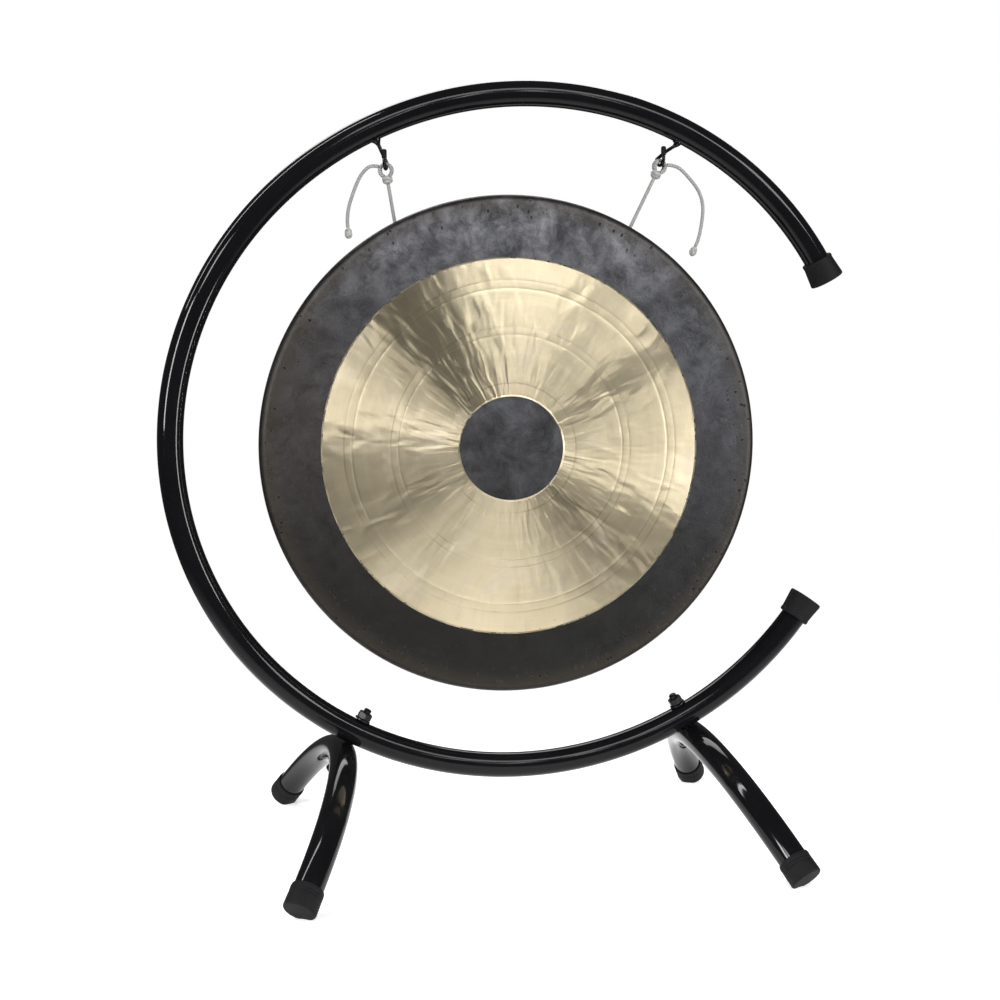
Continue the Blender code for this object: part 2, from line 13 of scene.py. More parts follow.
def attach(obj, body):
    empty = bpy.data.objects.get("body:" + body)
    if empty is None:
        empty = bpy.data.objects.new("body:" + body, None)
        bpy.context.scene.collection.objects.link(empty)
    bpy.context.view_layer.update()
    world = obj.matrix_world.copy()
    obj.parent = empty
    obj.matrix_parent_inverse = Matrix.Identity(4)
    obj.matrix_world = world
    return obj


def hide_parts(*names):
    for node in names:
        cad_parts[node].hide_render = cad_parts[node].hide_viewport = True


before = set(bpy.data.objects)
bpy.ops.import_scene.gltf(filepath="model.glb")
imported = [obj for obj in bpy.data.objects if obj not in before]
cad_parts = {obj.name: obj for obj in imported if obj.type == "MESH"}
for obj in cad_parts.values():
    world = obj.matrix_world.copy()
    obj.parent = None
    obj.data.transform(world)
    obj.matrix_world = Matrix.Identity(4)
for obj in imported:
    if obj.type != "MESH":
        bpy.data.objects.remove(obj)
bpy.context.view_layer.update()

# ---- driving dimensions, as in the CAD source
GAP = 0.0003
RING_CENTRE = Vector((0.0162, 0.0, 0.4133))
RING_RADIUS = 0.3395
RING_OVAL = 0.0223
RING_TURN = math.radians(-0.7)
RING_OVAL_ANGLE = math.radians(14.6) + RING_TURN
RING_TUBE = 0.0125
RING_WALL = 0.0018
RING_UPPER_END = math.radians(26.6)
RING_LOWER_END = math.radians(-31.1)
RING_CAP_LENGTH = 0.0235
RING_CAP_MOUTH = 0.0155
RING_CAP_END = 0.0174
RING_CAP_FLOOR = 0.0030

BOLT_SPREAD = math.radians(30.0)
LEG_TUBE = 0.0140
LEG_WALL = 0.0018
LEG_BEND_RADIUS = 0.2266
LEG_BEND_ANGLE = math.radians(50.3)
LEG_END_STRAIGHT = 0.0250
LEG_ARC = LEG_BEND_RADIUS * LEG_BEND_ANGLE
LEG_REACH = LEG_ARC + LEG_END_STRAIGHT
LEG_CAP_LENGTH = 0.0230
LEG_CAP_RADIUS = 0.0158
LEG_CAP_FLOOR = 0.0027

BOLT_RADIUS = 0.0040
BOLT_HOLE = 0.0044
BOLT_HEAD_RADIUS = 0.0085
BOLT_HEAD_HEIGHT = 0.0046
BOLT_TIP = 0.0042
THREAD_PITCH = 0.00125
WASHER_RADIUS = 0.0080
WASHER_THICKNESS = 0.0016
NUT_WASHER_FIT = 0.0008
HEAD_WASHER_FIT = 0.0005
NUT_ACROSS_FLATS = 0.0130
NUT_HEIGHT = 0.0065

HOOK_SPREAD = math.radians(27.45)
HOOK_ROD = 0.00175
HOOK_BEND = 0.0065
HOOK_OPENING_TURN = math.radians(16.0)
HOOK_INSET = {"left": 0.0085, "right": 0.0170}
HOOK_DROP = {"left": 0.0268, "right": 0.0225}
HOOK_FREE_END = 0.0100
SLEEVE_RADIUS = 0.0025
SLEEVE_LENGTH = 0.0085

GONG_CENTRE = Vector((0.0, 0.0003, 0.4020))
GONG_RADIUS = 0.2465
GONG_RIM_RADIUS = 0.2425
GONG_DEPTH = 0.0530
GONG_DOME = 0.0080
GONG_SHOULDER = 0.0090
GONG_FLAT = GONG_RADIUS - GONG_SHOULDER
GONG_FACE_WALL = 0.0017
GONG_RIM_WALL = 0.0028
GONG_TURN = math.radians(-3.0)
GONG_LEAN = math.radians(1.28)
HOLE_SPREAD = math.radians(28.15)
HOLE_ROLL = math.radians(-1.3)
HOLE_DEPTH = 0.0140
HOLE_RADIUS = 0.0035
HOLE_DRILL = 0.0080

CORD = 0.0017
LOOP_RADIUS = 0.0060
LOOP_FIT = 0.0009
HOOK_KNOT_HEIGHT = 0.0084
HOOK_KNOT_DROP = 0.0105
STOPPER_RADIUS = 0.0045
STOPPER_DROP = 0.0072
TAIL_KNOT_RADIUS = 0.0038
TAIL_KNOT_HEIGHT = 0.0100
TAIL_POINTS = 17
TAIL_ROUTES = {
    "left": [(-0.1261, -0.0007, 0.6743), (-0.1340, -0.0016, 0.6745), (-0.1414, -0.0021, 0.6686),
             (-0.1470, -0.0023, 0.6592), (-0.1520, -0.0022, 0.6467), (-0.1556, -0.0018, 0.6350),
             (-0.1570, -0.0013, 0.6240), (-0.1566, -0.0008, 0.6160)],
    "right": [(0.1599, -0.0008, 0.6787), (0.1680, -0.0016, 0.6774), (0.1750, -0.0022, 0.6731),
              (0.1857, -0.0028, 0.6617), (0.1927, -0.0030, 0.6512), (0.1961, -0.0030, 0.6382),
              (0.1953, -0.0026, 0.6233), (0.1925, -0.0020, 0.6080), (0.1890, -0.0016, 0.5990)],
}

SIDES = {"left": -1, "right": 1}
Y_AXIS = Vector((0.0, 1.0, 0.0))
Z_AXIS = Vector((0.0, 0.0, 1.0))

# ---- dimensions of the looks alone
EYE_RADIUS = 0.0519
BAND_RADIUS = 0.1856
BEVEL = 0.0009
SHAVED = 0.00035
LATHE_LINES = {0.0640: 0.00004, 0.1110: 0.00012, 0.1185: 0.00006, 0.1560: 0.00014, 0.1640: 0.00007}
LATHE_LINE_WIDTH = 0.0011
FACE_SECTORS = 600
LOOP_TILTS = (-17.0, 17.0)
BRAID_STRANDS = 8
BRAID_PITCH = 0.0085
BRAID_RELIEF = 0.07
HOOK_KNOT_RADIUS = 0.0054
LOOP_START = math.radians(118.0)
LOOP_END = math.radians(422.0)
WELD_REACH = 0.0055
WELD_HEIGHT = 0.0032
HEAD_SKIRT = 0.0006
THREAD_DEPTH = 0.0005
NUT_CHAMFER = 0.0011
RIM_LIP = 0.0012

# Unevenness of a piece's surface: its share of the radius, and how close together the lumps lie
TUBE_LUMPS = (0.0035, 26.0)
FERRULE_LUMPS = (0.008, 130.0)
FOOT_LUMPS = (0.006, 120.0)
HOOK_LUMPS = (0.05, 700.0)
SLEEVE_LUMPS = (0.02, 600.0)

# Hammer marks on the gong: how close together they lie, and how deep they are
FINE_MARKS, FINE_DEPTH = 55.0, 0.00012
BROAD_MARKS, BROAD_DEPTH = 16.0, 0.00025
BROAD_SHIFT = Vector((7.0, 2.0, 5.0))
RIPPLE_TURNS, RIPPLE_MARKS, RIPPLE_DEPTH = 3.2, 55.0, 0.00010

# Fineness of the meshes
SHARP_ANGLE = 40.0
ROUTE_PIECES = 24
DRILL_SIDES = 40
RING_STEPS = 420
LEG_STEPS = 150
TUBE_SIDES = 64
CAP_SIDES = 72
ROD_SIDES = 40
BEND_STEPS = 32
CORD_SIDES = 32
CORD_STEPS = 8
KNOT_ROWS = 40
KNOT_SIDES = 48
NUT_SIDES = 96
FACE_RINGS = 110
BACK_RINGS = 61

# Colours of the bronze, with painted light and painted shade among them
BRASS_LIGHT = (0.96, 0.83, 0.58)
BRASS_DARK = (0.72, 0.60, 0.39)
BRASS_BAND = (0.95, 0.85, 0.60)
BRASS_STAIN = (0.60, 0.53, 0.43)
BRASS_HAIR = (0.62, 0.54, 0.36)
LATHE_SHADOW = (0.42, 0.33, 0.19)
PIT_COLOUR = (0.16, 0.12, 0.07)
SCALE_DARK = (0.015, 0.015, 0.017)
SCALE_GREY = (0.072, 0.073, 0.079)
SCALE_BLOT = (0.036, 0.035, 0.041)
SCALE_SMUDGE_AND_TOP_LIGHT = (0.22, 0.22, 0.235)
SCALE_BROWN = (0.036, 0.029, 0.023)
SCALE_PAINTED_BOTTOM_SHADE = (0.007, 0.007, 0.006)
SCALE_EDGE = (0.040, 0.033, 0.024)
SCALE_SPECK = (0.15, 0.14, 0.12)
SCALE_RIM = (0.007, 0.006, 0.0055)
DIMPLE_PAINTED_SHADE = (0.006, 0.006, 0.006)
DIMPLE_LIP_HIGHLIGHT = (0.12, 0.10, 0.07)

# Camera at the photographed viewpoint
CAMERA_PLACE = Vector((-0.2750, -1.5949, 0.5087))
CAMERA_YAW = math.radians(9.43)
CAMERA_PITCH = math.radians(-5.63)
CAMERA_ROLL = math.radians(-0.43)
CAMERA_LENS = 58.87


def new_object(name, data):
    item = bpy.data.objects.new(name, data)
    bpy.context.scene.collection.objects.link(item)
    return item


def make_camera():
    data = bpy.data.cameras.new("camera")
    data.lens = CAMERA_LENS
    camera = new_object("camera", data)
    camera.matrix_world = (Matrix.Translation(CAMERA_PLACE) @ Matrix.Rotation(-CAMERA_YAW, 4, "Z")
                           @ Matrix.Rotation(math.radians(90.0) + CAMERA_PITCH, 4, "X")
                           @ Matrix.Rotation(CAMERA_ROLL, 4, "Z"))
    bpy.context.scene.camera = camera


make_camera()


# ---- frames along a path
def frame_at(point, normal, binormal):
    """A station on a path: its point and the two axes across the path."""
    return point, normal.normalized(), binormal.normalized()


def straight(origin, direction, across):
    """Frames along a straight line, by distance from its origin."""
    direction = direction.normalized()
    normal = (across - direction * across.dot(direction)).normalized()
    binormal = direction.cross(normal)
    return lambda distance: frame_at(origin + direction * distance, normal, binormal)


def ring_reach(angle):
    return RING_RADIUS * (1.0 + RING_OVAL * math.cos(2.0 * (angle - RING_OVAL_ANGLE)))


def ring_outward(angle):
    return Vector((math.cos(angle), 0.0, math.sin(angle)))


def ring_point(angle):
    return RING_CENTRE + ring_outward(angle) * ring_reach(angle)


def ring_frame(angle):
    step = math.radians(0.05)
    tangent = ring_point(angle + step) - ring_point(angle - step)
    return frame_at(ring_point(angle), tangent.cross(Y_AXIS), Y_AXIS)


def bolt_angle(side):
    return math.radians(-90.0) + RING_TURN + SIDES[side] * BOLT_SPREAD


def bolt_outward(side):
    return ring_outward(bolt_angle(side))


def leg_crown(side):
    return ring_point(bolt_angle(side)) + bolt_outward(side) * (RING_TUBE + GAP + LEG_TUBE)


def leg_frame(side, distance):
    """Frame of a leg's centreline at a distance along the tube from its crown."""
    down = bolt_outward(side)
    along = abs(distance)
    sign = math.copysign(1.0, distance)
    turn = min(along / LEG_BEND_RADIUS, LEG_BEND_ANGLE)
    rest = max(0.0, along - LEG_ARC)
    out = LEG_BEND_RADIUS * math.sin(turn) + rest * math.cos(turn)
    drop = LEG_BEND_RADIUS * (1.0 - math.cos(turn)) + rest * math.sin(turn)
    point = leg_crown(side) + Y_AXIS * (sign * out) + down * drop
    tangent = Y_AXIS * math.cos(turn) + down * (sign * math.sin(turn))
    across = tangent.cross(down.cross(Y_AXIS))
    return frame_at(point, across, down.cross(Y_AXIS))


def smooth_route(points, count):
    """Evenly spread points on a smooth curve through the route's own points."""
    padded = [points[0] * 2.0 - points[1], *points, points[-1] * 2.0 - points[-2]]
    fine = []
    for index in range(1, len(padded) - 2):
        before, start, end, after = padded[index - 1:index + 3]
        for piece in range(ROUTE_PIECES):
            t = piece / ROUTE_PIECES
            fine.append(0.5 * (2.0 * start + (end - before) * t
                               + (2.0 * before - 5.0 * start + 4.0 * end - after) * t * t
                               + (3.0 * start - before - 3.0 * end + after) * t ** 3))
    fine.append(points[-1])
    return spread_evenly(fine, count)


def spread_evenly(points, count):
    """The given number of points, evenly spaced along a line of points."""
    lengths = [0.0]
    for first, second in zip(points, points[1:]):
        lengths.append(lengths[-1] + (second - first).length)
    spread = []
    cursor = 0
    for number in range(count):
        target = lengths[-1] * number / (count - 1)
        while cursor < len(lengths) - 2 and lengths[cursor + 1] < target:
            cursor += 1
        share = (target - lengths[cursor]) / (lengths[cursor + 1] - lengths[cursor])
        spread.append(points[cursor].lerp(points[cursor + 1], share))
    return spread


def route_frames(points, across):
    """Frames along a route of points, carried along it without twisting."""
    frames = []
    normal = across
    for index, point in enumerate(points):
        before = points[max(index - 1, 0)]
        after = points[min(index + 1, len(points) - 1)]
        tangent = (after - before).normalized()
        normal = (normal - tangent * normal.dot(tangent)).normalized()
        frames.append(frame_at(point, normal, tangent.cross(normal)))
    return frames


# ---- mesh helpers
def add_object(name, mesh, *finishes, sharp=SHARP_ANGLE):
    for finish in finishes:
        mesh.materials.append(finish)
    mesh.shade_smooth()
    mesh.set_sharp_from_angle(angle=math.radians(sharp))
    return new_object(name, mesh)


def place(item, body, node):
    """Give a piece its body and the CAD node that it stands for."""
    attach(item, body)
    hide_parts(node)


def spokes(normal, binormal, sides):
    """Directions evenly spaced round a path, each with its angle."""
    for number in range(sides):
        angle = 2.0 * math.pi * number / sides
        yield angle, normal * math.cos(angle) + binormal * math.sin(angle)


def skin_rows(shape, rows, closed=False):
    """Faces between neighbouring rows of points; a row of one point is a pole."""
    pairs = list(zip(rows, rows[1:]))
    if closed:
        pairs.append((rows[-1], rows[0]))
    for first, second in pairs:
        sides = max(len(first), len(second))
        for number in range(sides):
            following = (number + 1) % sides
            corners = [first[number % len(first)], first[following % len(first)],
                       second[following % len(second)], second[number % len(second)]]
            shape.faces.new(list(dict.fromkeys(corners)))


def finish_mesh(name, shape):
    bmesh.ops.recalc_face_normals(shape, faces=shape.faces)
    mesh = bpy.data.meshes.new(name)
    shape.to_mesh(mesh)
    shape.free()
    return mesh


def skin_mesh(name, stations, sides, closed=False, relief=None):
    """Mesh through round sections, open at an end unless it is closed or starts at a pole."""
    shape = bmesh.new()
    rows = []
    for (point, normal, binormal), radius in stations:
        if radius == 0.0:
            rows.append([shape.verts.new(point)])
            continue
        row = []
        for _, outward in spokes(normal, binormal, sides):
            reach = radius if relief is None else radius * relief(point + outward * radius)
            row.append(shape.verts.new(point + outward * reach))
        rows.append(row)
    skin_rows(shape, rows, closed)
    return finish_mesh(name, shape)


def rounded(profile, radius, steps=4):
    """A profile of (distance, radius) corners with each inner corner rounded off."""
    points = [Vector(corner) for corner in profile]
    soft = [points[0]]
    for before, corner, after in zip(points, points[1:], points[2:]):
        towards = before - corner
        away = after - corner
        cut = min(radius, 0.45 * towards.length, 0.45 * away.length)
        start = corner + towards.normalized() * cut
        end = corner + away.normalized() * cut
        for step in range(steps + 1):
            t = step / steps
            soft.append(start.lerp(corner, t).lerp(corner.lerp(end, t), t))
    soft.append(points[-1])
    return [tuple(point) for point in soft]


def turned(name, line, profile, sides, relief=None):
    """A lathe-turned piece from a profile of (distance, radius) along a line."""
    stations = [(line(distance), max(radius, 0.0)) for distance, radius in profile]
    return skin_mesh(name, stations, sides, relief=relief)


def drill(item, holes, radius, reach):
    """Cut round holes through a piece; a hole is a point on its axis and a direction."""
    drills = []
    for number, (origin, direction) in enumerate(holes):
        line = straight(origin, direction, Y_AXIS)
        stations = [(line(-reach), 0.0), (line(-reach), radius), (line(reach), radius), (line(reach), 0.0)]
        name = f"{item.name}_drill_{number}"
        cutter = new_object(name, skin_mesh(name, stations, DRILL_SIDES))
        step = item.modifiers.new(name, "BOOLEAN")
        step.operation = "DIFFERENCE"
        step.solver = "EXACT"
        step.object = cutter
        drills.append(cutter)
    bpy.context.view_layer.update()
    seen = item.evaluated_get(bpy.context.evaluated_depsgraph_get())
    drilled = bpy.data.meshes.new_from_object(seen)
    item.modifiers.clear()
    item.data = drilled
    for cutter in drills:
        bpy.data.objects.remove(cutter)


# ---- node materials
class Finish:
    """One procedural material, built up through its own small helpers."""

    def __init__(self, name):
        self.material = bpy.data.materials.new(name)
        self.material.use_nodes = True
        self.tree = self.material.node_tree
        self.shader = self.tree.nodes["Principled BSDF"]
        self.place = self.node("TexCoord").outputs["Object"]

    def feed(self, socket, value):
        if isinstance(value, bpy.types.NodeSocket):
            self.tree.links.new(value, socket)
        else:
            socket.default_value = value

    def fill(self, node, values):
        """Feed a node's sockets, by their names with underscores."""
        for name, value in values.items():
            self.feed(node.inputs[name.replace("_", " ")], value)

    def set(self, **values):
        self.fill(self.shader, values)

    def node(self, kind, **values):
        node = self.tree.nodes.new("ShaderNode" + kind)
        self.fill(node, values)
        return node

    def math(self, operation, first, second=0.0):
        node = self.node("Math")
        node.operation = operation
        self.feed(node.inputs[0], first)
        self.feed(node.inputs[1], second)
        return node.outputs[0]

    def times(self, first, second):
        return self.math("MULTIPLY", first, second)

    def span(self, value, low, high, to_low=0.0, to_high=1.0):
        """Smoothly map a value from one range to another."""
        node = self.node("MapRange")
        node.interpolation_type = "SMOOTHSTEP"
        for socket, number in zip(node.inputs, (value, low, high, to_low, to_high)):
            self.feed(socket, number)
        return node.outputs[0]

    def mix(self, share, first, second):
        node = self.node("Mix")
        node.data_type = "RGBA"
        self.feed(node.inputs[0], share)
        for socket, colour in ((node.inputs[6], first), (node.inputs[7], second)):
            self.feed(socket, (*colour, 1.0) if isinstance(colour, tuple) else colour)
        return node.outputs[2]

    def vector(self, x, y, z):
        return self.node("CombineXYZ", X=x, Y=y, Z=z).outputs[0]

    def split(self, vector):
        return self.node("SeparateXYZ", Vector=vector).outputs

    def noise(self, scale, detail=3.0, roughness=0.55, distortion=0.0, where=None):
        return self.node("TexNoise", Vector=self.place if where is None else where, Scale=scale,
                         Detail=detail, Roughness=roughness, Distortion=distortion).outputs[0]

    def cells(self, where, scale, randomness=1.0):
        """Distance to the nearest of many scattered points."""
        return self.node("TexVoronoi", Vector=where, Scale=scale, Randomness=randomness).outputs["Distance"]

    def bump(self, height, distance, normal=None):
        node = self.node("Bump", Strength=1.0, Distance=distance, Height=height)
        if normal is not None:
            self.feed(node.inputs["Normal"], normal)
        return node.outputs[0]

    def polar(self):
        """Distance from the local z axis and angle about it."""
        x, y, _ = self.split(self.place)
        reach = self.math("SQRT", self.math("ADD", self.times(x, x), self.times(y, y)))
        return reach, self.math("ARCTAN2", y, x)

    def attribute(self, name):
        node = self.node("Attribute")
        node.attribute_name = name
        return node.outputs["Fac"]


def enamel_finish():
    """Gloss black enamel with faint orange peel, dust and uneven gloss."""
    finish = Finish("black_enamel_gloss")
    cloud = finish.noise(22.0, 4.0)
    dust = finish.span(finish.noise(2600.0, 1.0), 0.70, 0.78)
    wear = finish.span(finish.noise(70.0, 6.0, 0.7), 0.62, 0.72)
    colour = finish.mix(cloud, (0.0028, 0.0028, 0.0034), (0.0058, 0.0058, 0.0066))
    colour = finish.mix(finish.times(dust, 0.5), colour, (0.05, 0.05, 0.05))
    gloss = finish.math("ADD", finish.span(cloud, 0.3, 0.7, 0.06, 0.10), finish.times(wear, 0.08))
    peel = finish.noise(420.0, 1.5)
    finish.set(Base_Color=colour, Roughness=gloss, Specular_IOR_Level=0.20,
               Normal=finish.bump(peel, 0.000012))
    return finish.material


def rubber_finish(name="moulded_black_rubber", grain=1500.0):
    """Matte moulded rubber: fine grain, dusty patches and scuffs."""
    finish = Finish(name)
    cloud = finish.noise(75.0, 5.0, 0.65)
    fine = finish.noise(grain, 3.0, 0.7)
    scuff = finish.span(finish.noise(310.0, 6.0, 0.8, 1.5), 0.60, 0.75)
    colour = finish.mix(cloud, (0.0040, 0.0040, 0.0045), (0.0115, 0.0115, 0.0125))
    colour = finish.mix(finish.times(scuff, 0.35), colour, (0.040, 0.039, 0.038))
    finish.set(Base_Color=colour, Roughness=finish.span(fine, 0.2, 0.8, 0.50, 0.78),
               Specular_IOR_Level=0.10, Normal=finish.bump(fine, 0.00012))
    return finish.material


def steel_finish():
    """Black-plated steel with slightly bare, brighter patches."""
    finish = Finish("black_plated_steel")
    cloud = finish.noise(260.0, 5.0, 0.7)
    bare = finish.span(finish.noise(900.0, 4.0, 0.75), 0.60, 0.70)
    colour = finish.mix(cloud, (0.006, 0.006, 0.007), (0.020, 0.020, 0.022))
    colour = finish.mix(finish.times(bare, 0.25), colour, (0.12, 0.12, 0.12))
    finish.set(Base_Color=colour, Metallic=0.75, Roughness=finish.span(cloud, 0.3, 0.7, 0.26, 0.46),
               Normal=finish.bump(cloud, 0.00006))
    return finish.material


def cord_finish():
    """Grey-white braided cord: strands light on top, with painted shade darkening the grooves between them,
    and loose fibre noise.
    """
    finish = Finish("braided_cord_weave")
    relief = finish.attribute("relief")
    fibre = finish.noise(3200.0, 4.0, 0.7)
    cloud = finish.noise(130.0, 4.0)
    strand = finish.mix(cloud, (0.17, 0.17, 0.165), (0.32, 0.315, 0.305))
    # painted shade: the colour darkens from the tops of the strands into the grooves between them
    colour = finish.mix(finish.span(relief, 0.15, 0.75), (0.075, 0.075, 0.08), strand)
    colour = finish.mix(finish.span(fibre, 0.35, 0.75, 0.0, 0.45), colour, (0.66, 0.65, 0.63))
    finish.set(Base_Color=colour, Roughness=finish.span(fibre, 0.2, 0.8, 0.72, 0.95), Sheen_Weight=0.25,
               Sheen_Roughness=0.5, Normal=finish.bump(fibre, 0.00015))
    return finish.material


def brass_finish():
    """Lathe-shaved bronze: silky grooves round the middle, hammer ripples across them, stains and pits."""
    finish = Finish("lathed_bronze")
    reach, _ = finish.polar()
    x, y, _ = finish.split(finish.place)
    round_x = finish.math("DIVIDE", x, reach)
    round_y = finish.math("DIVIDE", y, reach)

    def swept(fineness, length):
        """Places stretched outwards, so that marks lie along the radius."""
        return finish.vector(finish.times(round_x, fineness), finish.times(round_y, fineness),
                             finish.math("DIVIDE", reach, length))

    ripple = finish.noise(1.0, 1.0, 0.40, 0.4, swept(11.0, 0.030))
    hair = finish.noise(1.0, 2.0, 0.6, where=swept(150.0, 0.050))
    groove = finish.noise(1.0, 4.0, 0.7, where=finish.vector(finish.times(reach, 1100.0), 0.0, 0.0))
    band = finish.noise(1.0, 3.0, 0.6, where=finish.vector(finish.times(reach, 120.0), 0.0, 0.0))
    cloud = finish.noise(13.0, 5.0, 0.6, 0.6)
    stain = finish.span(finish.noise(8.0, 6.0, 0.65, 1.2), 0.50, 0.68)
    pits = finish.span(finish.cells(swept(26.0, 0.012), 1.0), 0.03, 0.09, 1.0, 0.0)
    rare = finish.span(finish.noise(31.0, 2.0), 0.44, 0.52)
    pits = finish.times(pits, rare)
    low_edge = finish.times(finish.span(reach, 0.160, 0.176), finish.span(y, -0.02, -0.12))
    pits = finish.times(pits, low_edge)

    colour = finish.mix(cloud, BRASS_LIGHT, BRASS_DARK)
    colour = finish.mix(finish.span(band, 0.30, 0.70, 0.0, 0.5), colour, BRASS_BAND)
    colour = finish.mix(finish.times(stain, 0.55), colour, BRASS_STAIN)
    patch = finish.span(finish.noise(17.0, 3.0), 0.40, 0.60)
    for radius in LATHE_LINES:
        away = finish.math("ABSOLUTE", finish.math("SUBTRACT", reach, radius))
        line = finish.times(finish.span(away, 0.0, LATHE_LINE_WIDTH, 0.50, 0.0), patch)
        colour = finish.mix(line, colour, LATHE_SHADOW)
    colour = finish.mix(finish.span(hair, 0.55, 0.80, 0.0, 0.30), colour, BRASS_HAIR)
    colour = finish.mix(finish.times(pits, 0.75), colour, PIT_COLOUR)

    gloss = finish.math("ADD", 0.30, finish.times(stain, 0.08))
    normal = finish.bump(ripple, 0.00085)
    normal = finish.bump(groove, 0.00008, normal)
    tangent = finish.node("Tangent")
    tangent.direction_type = "RADIAL"
    tangent.axis = "Z"
    finish.set(Base_Color=colour, Metallic=1.0, Roughness=gloss, Anisotropic=0.96, Anisotropic_Rotation=0.25,
               Tangent=tangent.outputs[0], Normal=normal)
    return finish.material


def oxide_finish(name, tint=0.0):
    """Dark fire-scale on hammered bronze: blue-grey with pale smudges, browner towards the lower left, with
    painted light making the smudges paler towards the top and painted shade darkening the bottom.
    """
    finish = Finish(name)
    reach, angle = finish.polar()
    x, y, z = finish.split(finish.place)
    cloud = finish.noise(38.0, 9.0, 0.76, 0.4)
    brushed = finish.vector(finish.times(x, 46.0), finish.times(y, 40.0),
                            finish.math("ADD", finish.times(z, 46.0), tint))
    smudge = finish.span(finish.noise(1.0, 8.0, 0.72, 0.35, brushed), 0.36, 0.78)
    blot = finish.span(finish.noise(15.0, 4.0, 0.6, 1.0), 0.42, 0.62)
    speck = finish.noise(420.0, 4.0, 0.7)
    # painted light: the pale smudges grow stronger towards the top, as if lit from above
    upper = finish.span(y, 0.10, 0.25)
    brown = finish.span(finish.math("ADD", x, finish.times(y, 0.6)), 0.02, -0.22)
    # painted shade: the scale is darkened towards the bottom
    lower = finish.span(y, 0.08, -0.19)
    edge = finish.span(reach, 0.222, 0.242)

    colour = finish.mix(finish.span(cloud, 0.30, 0.70), SCALE_DARK, SCALE_GREY)
    colour = finish.mix(finish.times(blot, 0.55), colour, SCALE_BLOT)
    pale = finish.times(smudge, finish.math("ADD", upper, 0.08))
    colour = finish.mix(pale, colour, SCALE_SMUDGE_AND_TOP_LIGHT)
    for mask, share, tone in ((brown, 0.60, SCALE_BROWN), (lower, 0.90, SCALE_PAINTED_BOTTOM_SHADE),
                              (edge, 0.50, SCALE_EDGE)):
        colour = finish.mix(finish.times(mask, share), colour, tone)
    colour = finish.mix(finish.span(speck, 0.62, 0.80, 0.0, 0.45), colour, SCALE_SPECK)

    rim = finish.span(reach, 0.2405, 0.2440)
    colour = finish.mix(finish.times(rim, 0.80), colour, SCALE_RIM)

    turn = finish.times(angle, 38.0)
    row = finish.times(reach, 105.0)
    nearest = finish.cells(finish.vector(turn, row, tint), 1.0, 0.85)
    dots = finish.span(nearest, 0.12, 0.24, 1.0, 0.0)
    lip = finish.span(finish.math("ABSOLUTE", finish.math("SUBTRACT", nearest, 0.26)), 0.0, 0.07, 1.0, 0.0)
    rows = finish.times(finish.span(reach, 0.214, 0.228), finish.span(reach, 0.2405, 0.2425, 1.0, 0.0))
    patchy = finish.span(finish.noise(14.0, 3.0), 0.40, 0.52)
    rows = finish.times(rows, patchy)
    dots = finish.times(dots, rows)
    lip = finish.times(lip, rows)
    # painted shade darkens the hammer dimples, and a painted highlight lightens their lips
    colour = finish.mix(finish.times(dots, 0.85), colour, DIMPLE_PAINTED_SHADE)
    colour = finish.mix(finish.times(lip, 0.12), colour, DIMPLE_LIP_HIGHLIGHT)

    normal = finish.bump(cloud, 0.0010)
    normal = finish.bump(speck, 0.00022, normal)
    normal = finish.bump(dots, -0.0009, normal)
    finish.set(Base_Color=colour, Metallic=0.45, Roughness=finish.span(cloud, 0.3, 0.7, 0.40, 0.56),
               Specular_IOR_Level=0.30, Normal=normal)
    return finish.material


def bevel_finish():
    """Bright freshly cut bronze along the two edges of the shaved band."""
    finish = Finish("cut_bronze_edge")
    cloud = finish.noise(90.0, 3.0)
    colour = finish.mix(cloud, (0.86, 0.78, 0.58), (0.70, 0.60, 0.40))
    finish.set(Base_Color=colour, Metallic=1.0, Roughness=finish.span(cloud, 0.3, 0.7, 0.22, 0.38))
    return finish.material


ENAMEL = enamel_finish()
RUBBER = rubber_finish()
VINYL = rubber_finish("soft_black_vinyl", 2600.0)
STEEL = steel_finish()
CORD_WEAVE = cord_finish()
BRASS = brass_finish()
OXIDE = oxide_finish("fire_scale_bronze")
BACK_OXIDE = oxide_finish("fire_scale_bronze_back", 7.0)
CUT_EDGE = bevel_finish()


# ---- cords
def braided(name, points, radius, across):
    """A braided cord: strands that cross in two spirals, with their heights stored as an attribute."""
    count = max(CORD_STEPS * (len(points) - 1), 24)
    fine = spread_evenly(smooth_route(points, CORD_STEPS * len(points)), count)
    frames = route_frames(fine, across)
    step = (fine[1] - fine[0]).length
    rows = []
    heights = []
    shape = bmesh.new()
    for index, (point, normal, binormal) in enumerate(frames):
        phase = 2.0 * math.pi * index * step / BRAID_PITCH
        row = []
        for angle, outward in spokes(normal, binormal, CORD_SIDES):
            height = strand_height(angle, phase)
            swell = 1.0 - BRAID_RELIEF + 2.0 * BRAID_RELIEF * height
            row.append(shape.verts.new(point + outward * radius * swell))
            heights.append(height)
        rows.append(row)
    for row, end in ((rows[0], frames[0][0]), (rows[-1], frames[-1][0])):
        pole = shape.verts.new(end)
        heights.append(0.5)
        skin_rows(shape, [[pole], row])
    skin_rows(shape, rows)
    mesh = finish_mesh(name, shape)
    store_relief(mesh, heights)
    return add_object(name, mesh, CORD_WEAVE, sharp=180.0)


def strand_height(angle, phase):
    """Height of the braid, 0 in a groove to 1 on a strand, where two sets of strands pass over and under."""
    half = 0.5 * BRAID_STRANDS
    first = math.cos(half * angle + phase * half)
    second = math.cos(half * angle - phase * half)
    over = 0.5 + 0.5 * math.sin(half * angle + 0.25 * math.pi)
    return min(1.0, max(0.0, 0.5 + 0.5 * (over * first + (1.0 - over) * second)))


def store_relief(mesh, heights):
    # the stored heights also darken the grooves with painted shade in the cord's finish
    relief = mesh.attributes.new("relief", "FLOAT", "POINT")
    relief.data.foreach_set("value", heights)


